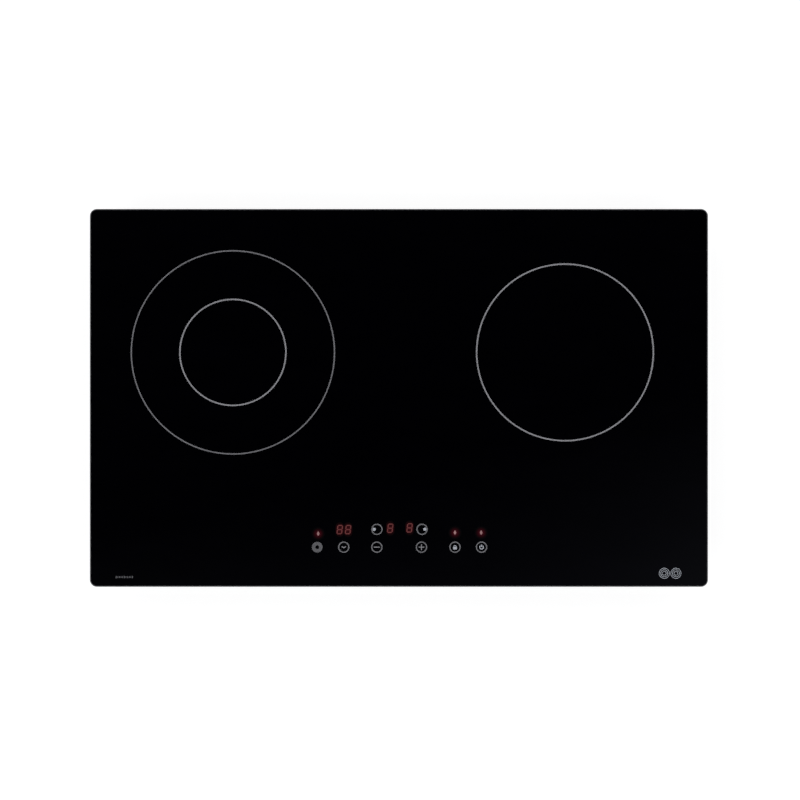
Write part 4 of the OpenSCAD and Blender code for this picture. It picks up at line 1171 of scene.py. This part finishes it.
def on_boards(mesh, *spots):
    """Copies of a mesh on the right power board, and on the left one at their mirror places."""
    return copies(mesh, [shift(s * x, y, BOARD_TOP) for s in (-1, 1) for x, y in spots])


def choke(outer, height, turns):
    """Core and wire of a ring choke: two windings that leave gaps between them."""
    wire, sides = 0.62, 20
    inner = 0.45 * outer
    half_w, half_h = (outer - inner) / 2 - wire, height / 2 - wire
    middle = (outer + inner) / 2
    section = rounded_outline(2 * (half_w - wire), 2 * (half_h - wire), 1.5, 4)
    core = lathe([(p.x + middle, p.y + height / 2) for p, _ in section], 48)
    windings = []
    for start in (15, 195):
        path = []
        for t in (i / sides for i in range(sides * turns + 1)):
            a = radians(start + 150 * t / turns)
            c, d = (copysign(abs(v) ** 0.45, v) for v in (cos(tau * t), sin(tau * t)))
            r = middle + half_w * c
            path.append((r * cos(a), r * sin(a), height / 2 + half_h * d))
        windings.append(tube(path, wire, 7))
    return core, merged(*windings)


def make_chokes():
    for name, spot, outer, height, turns in CHOKES:
        core, wires = choke(outer, height, turns)
        piece(f"{name}_choke_cores", on_boards(core, spot), "ferrite", "ferrite", replaces="filter_chokes")
        piece(f"{name}_choke_wires", on_boards(wires, spot), "wire", "enamelled_wire",
              replaces="filter_chokes", sharp=TUBE_SHARP)


def connector(width, depth, height, ways):
    """Plug in its header: a rounded block with a slot beside each contact."""
    along = max(width, depth) / ways
    slot = slab(along * 0.45, 1.2, 0.2, height * 0.35, height + SHEET)
    places = []
    for u in ((i - (ways - 1) / 2) * along for i in range(ways)):
        for side in (-1, 1):
            wide = shift(u, side * depth / 2)
            places.append(wide if width > depth else shift(side * width / 2, u) @ turn(90))
    return cut(slab(width, depth, 0.8, 0, height, 0, 0.5), copies(slot, places))


def chip(width, depth, height, ways, four_sided):
    """Body and legs of an integrated circuit."""
    dot = moved(rod(0.5, height - 0.15, height + SHEET, 20), shift(1.8 - width / 2, depth / 2 - 1.8))
    body = cut(slab(width - 1.6, depth - 1.6 * four_sided, 0.2, 0.2, height, 0.2, 0.2), dot)
    bends = [(0, 0), (0, 0.2), (0.35, 0.2), (0.7, 1.0), (1.1, 1.0), (1.1, 0.8), (0.9, 0.8), (0.55, 0)]
    leg = moved(plate([(width / 2 - back, up) for back, up in bends], -0.15, 0.15), turn(90, "X"))
    step = (depth - 2.4) / (ways - 1)
    quarters = (0, 90, 180, 270) if four_sided else (0, 180)
    row = [shift(0, (i - (ways - 1) / 2) * step) for i in range(ways)]
    legs = copies(leg, [turn(a) @ place for a in quarters for place in row])
    return body, legs


def can(r, h):
    """Electrolytic capacitor: grooved sleeve and a scored metal top."""
    rows = [(0, 0), (r - 0.4, 0)] + arc(r - 0.4, 0.4, 0.4, -60, 0, 3)
    rows += [(r, 1.4)] + arc(r + 0.1, 2, 0.6, 240, 120, 5) + [(r, 2.7)]
    rows += arc(r - 0.8, h - 0.8, 0.8, 0, 80, 4)
    sleeve = lathe(rows + [(0.8 * r, h), (0.78 * r, h - 0.3), (0, h - 0.3)], 40)
    scores = [moved(slab(1.3 * r, 0.25, 0.1, h - 0.25, h + SHEET), turn(a)) for a in (0, 90)]
    return sleeve, cut(rod(0.76 * r, h - 0.5, h - 0.1, 36), *scores)


def make_board_parts():
    """Relays, transformers, connectors, chips and cans, mirrored on the two power boards."""
    parts = {"slot": "white_plastic", "replaces": "board_parts"}
    piece("relays", on_boards(slab(19, 16, 1, 0.3, 15, 0.2, 0.8), *RELAYS), "relay", **parts)
    core = cut(slab(22, 20, 0.6, 0, 17, 0.3, 0.4), slab(15, 24, 0.3, 3, 14))
    piece("transformer_cores", on_boards(core, TRANSFORMER), "ferrite", **parts)
    tape = slab(14.6, 19.6, 3, 3.4, 13.6, 0.8, 0.8)
    piece("transformer_windings", on_boards(tape, TRANSFORMER), "tape", **parts)
    plugs = [on_boards(connector(*size), (x, y)) for x, y, *size in CONNECTORS]
    x, y, *size = PANEL_CONNECTOR
    plugs.append(moved(connector(*size), shift(x, y, PANEL_BOARD_TOP)))
    piece("connectors", merged(*plugs), "white_plastic", **parts)
    chips = [[on_boards(part, (x, y)) for part in chip(*size)] for x, y, *size in CHIPS]
    x, y, *size = PANEL_CHIP
    chips.append([moved(part, shift(x, y, PANEL_BOARD_TOP)) for part in chip(*size)])
    bodies, legs = zip(*chips)
    piece("chips", merged(*bodies), "relay", **parts)
    piece("chip_legs", merged(*legs), "tin", **parts)
    cans = [[on_boards(part, (x, y)) for part in can(*size)] for x, y, *size in CANS]
    sleeves, tops = zip(*cans)
    piece("can_sleeves", merged(*sleeves), "can_sleeve", **parts)
    piece("can_tops", merged(*tops), "aluminium", **parts)


make_windings()
make_springs()
make_chokes()
make_board_parts()


# ---- CAD nodes that keep their shape ----

def both(name):
    return [f"left_{name}", f"right_{name}"]


LEADS = ["coil_leads", "low_voltage_leads", "mains_leads"]
CAD_NODES = [   # material, width of the rounded edges, nodes
    ("screw", 0.2, ["clamp_nuts"]),
    ("silicone", 0, ["glass_adhesive"]),
    ("mica", 0, both("insulating_sheet")),
    ("wire", 0, ["fan_stators"]),
    ("bronze", 0, ["fan_bearings"]),
    ("ferrite", 0.3, both("ferrite_bars")),
    ("black_plastic", 0.3, [*both("coil_carrier"), "power_transistors", "control_tray"]),
    ("black_plastic", 0, both("fan_frame")),
    ("grey_plastic", 0.3, ["support_posts", "film_capacitors", "terminal_housing", "cable_saddle"]),
    ("white_plastic", 0.3, ["temperature_sensors", "terminal_block"]),
    ("aluminium", 0, both("coil_tray")),
    ("aluminium", 0.2, both("heatsink")),
    ("board", 0.2, [*both("power_board"), "control_board"]),
    ("epoxy", 0.2, ["led_displays"]),
    ("ribbon", 0.15, ["ribbon_cable"]),
    ("sleeve", 0, LEADS),
]
WELD_GAP = 0.002


def dress_cad_nodes():
    """Gives the CAD nodes that still show their materials, and rounds leads and the edges of moulded
    and bent parts with modifiers; the meshes stay as they are."""
    for key, width, names in CAD_NODES:
        for name in names:
            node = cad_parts[name]
            node.data.materials.clear()
            node.data.materials.append(MATERIALS[key])
            for polygon in node.data.polygons:
                polygon.use_smooth = True
            node.data.set_sharp_from_angle(angle=radians(30))
            if width or name in LEADS:
                node.modifiers.new("joined_corners", "WELD").merge_threshold = WELD_GAP * MM
            if width:
                rounded(node, width)
            if name in LEADS:
                smooth = node.modifiers.new("round_leads", "SUBSURF")
                smooth.levels = smooth.render_levels = 2


dress_cad_nodes()


# ---- floor and lights ----

FLOOR_GLOW = 0.82
FLOOR_GAP = 0.0002       # under the casing, in metres


def make_floor():
    """Pale floor that the cooktop stands on. It can be seen through from below. Where the casing covers
    it, the camera sees a painted shadow: there the floor loses its glow and shows dark through the vents."""
    mesh = bmesh.new()
    bmesh.ops.create_grid(mesh, x_segments=1, y_segments=1, size=6.0)
    floor = add_object("floor", mesh_data("floor", mesh))
    floor.location.z = BASE_Z * MM - FLOOR_GAP
    s = Shader("pale_floor", Roughness=0.9, Specular_IOR_Level=0.0,
               Base_Color=(0.28, 0.28, 0.28, 1), Emission_Color=(1, 1, 1, 1))
    x, y, _ = s.axes(s.place)
    # painted shadow: under the casing the floor glow is turned off for camera rays, standing in for the
    # shade there
    across, along = (s.math("DIVIDE", s.math("ABSOLUTE", value), (reach / 2 - 5) * MM)
                     for value, reach in ((x, WELL_W), (y, PAN_D)))
    painted_shadow_area = s.math("LESS_THAN", s.math("MAXIMUM", across, along), 1.0)
    seen = s.math("MULTIPLY", painted_shadow_area, s.node("LightPath", "Is Camera Ray"))
    s.set(Emission_Strength=s.spread(seen, FLOOR_GLOW, 0.0))
    pale, clear = s.tree.nodes["Principled BSDF"].outputs["BSDF"], s.node("BsdfTransparent", "BSDF")
    choice = {"Fac": s.node("NewGeometry", "Backfacing"), 1: pale, 2: clear}
    s.feed(s.tree.nodes["Material Output"].inputs["Surface"], s.node("MixShader", "Shader", choice))
    floor.data.materials.append(s.material)


LIGHTS = [   # azimuth, height above the horizon, power
    (-50, 50, 26), (50, 50, 20), (140, 48, 22), (-140, 48, 20),
]
LIGHT_DISTANCE, LIGHT_SIZE = 2.6, 1.5
BELOW = Vector((0.3, -0.6, -1.8))
BELOW_POWER, BELOW_SIZE = 14, 2.0


def soft_light(name, place, power, size):
    """Square soft box that shines on the middle of the cooktop."""
    data = bpy.data.lights.new(name, "AREA")
    data.energy = power
    data.size = size
    light = add_object(name, data)
    light.location = place
    light.rotation_euler = place.to_track_quat("Z", "Y").to_euler()
    return light


def make_lights():
    """Four soft boxes above, which leave no image in the glass, and one light below."""
    for number, (azimuth, height, power) in enumerate(LIGHTS):
        a, e = radians(azimuth), radians(height)
        away = Vector((sin(a) * cos(e), -cos(a) * cos(e), sin(e)))
        light = soft_light(f"softbox_{number + 1}", away * LIGHT_DISTANCE, power, LIGHT_SIZE)
        light.visible_glossy = False
    soft_light("underside_light", BELOW, BELOW_POWER, BELOW_SIZE)


SKY = [   # from straight down to straight up: position and colour
    (0.0, (0.26, 0.27, 0.28)), (0.25, (0.50, 0.51, 0.52)), (0.46, (0.62, 0.63, 0.65)),
    (0.52, (0.50, 0.51, 0.53)), (0.60, (0.24, 0.245, 0.26)), (0.75, (0.115, 0.118, 0.13)),
    (1.0, (0.0009, 0.0009, 0.0013)),
]
BACKGROUND = (0.86, 0.86, 0.865, 1)
SHEEN_TOWARDS = (0.25, -1.0, 0)
SHEEN = (1.0, 20.0, 0.03, 0.115)   # how much brighter, and from where to where along SHEEN_TOWARDS
OVERHEAD = 0.95                    # the sheen only lies higher than this


def make_world():
    """Pale room: dark overhead, so that the glass stays black, and brighter towards the horizon and the
    floor. Almost overhead it brightens towards the front, which gives the glass a faint sheen in its front
    corner. What the camera sees of the room directly is plain and pale."""
    world = bpy.data.worlds.new("studio")
    world.use_nodes = True
    n = Nodes(world.node_tree, "Generated")
    z = n.axes(n.place)[2]
    towards = n.node("VectorMath", "Value", {0: n.place, 1: SHEEN_TOWARDS}, operation="DOT_PRODUCT")
    overhead = n.math("GREATER_THAN", z, OVERHEAD)
    strength = n.node("Mix", "Result", {"Factor": overhead, "A": 1.0, "B": n.spread(towards, *SHEEN)})
    room = n.tree.nodes["Background"]
    n.feed(room.inputs["Color"], n.ramp(n.spread(z, 0, 1, -1, 1), *SKY))
    n.feed(room.inputs["Strength"], strength)
    pale = n.node("Background", "Background", {"Color": BACKGROUND})
    choice = {"Fac": n.node("LightPath", "Is Camera Ray"), 1: room.outputs["Background"], 2: pale}
    n.feed(n.tree.nodes["World Output"].inputs["Surface"], n.node("MixShader", "Shader", choice))
    bpy.context.scene.world = world


make_floor()
make_lights()
make_world()
bpy.context.scene.view_settings.view_transform = "Standard"
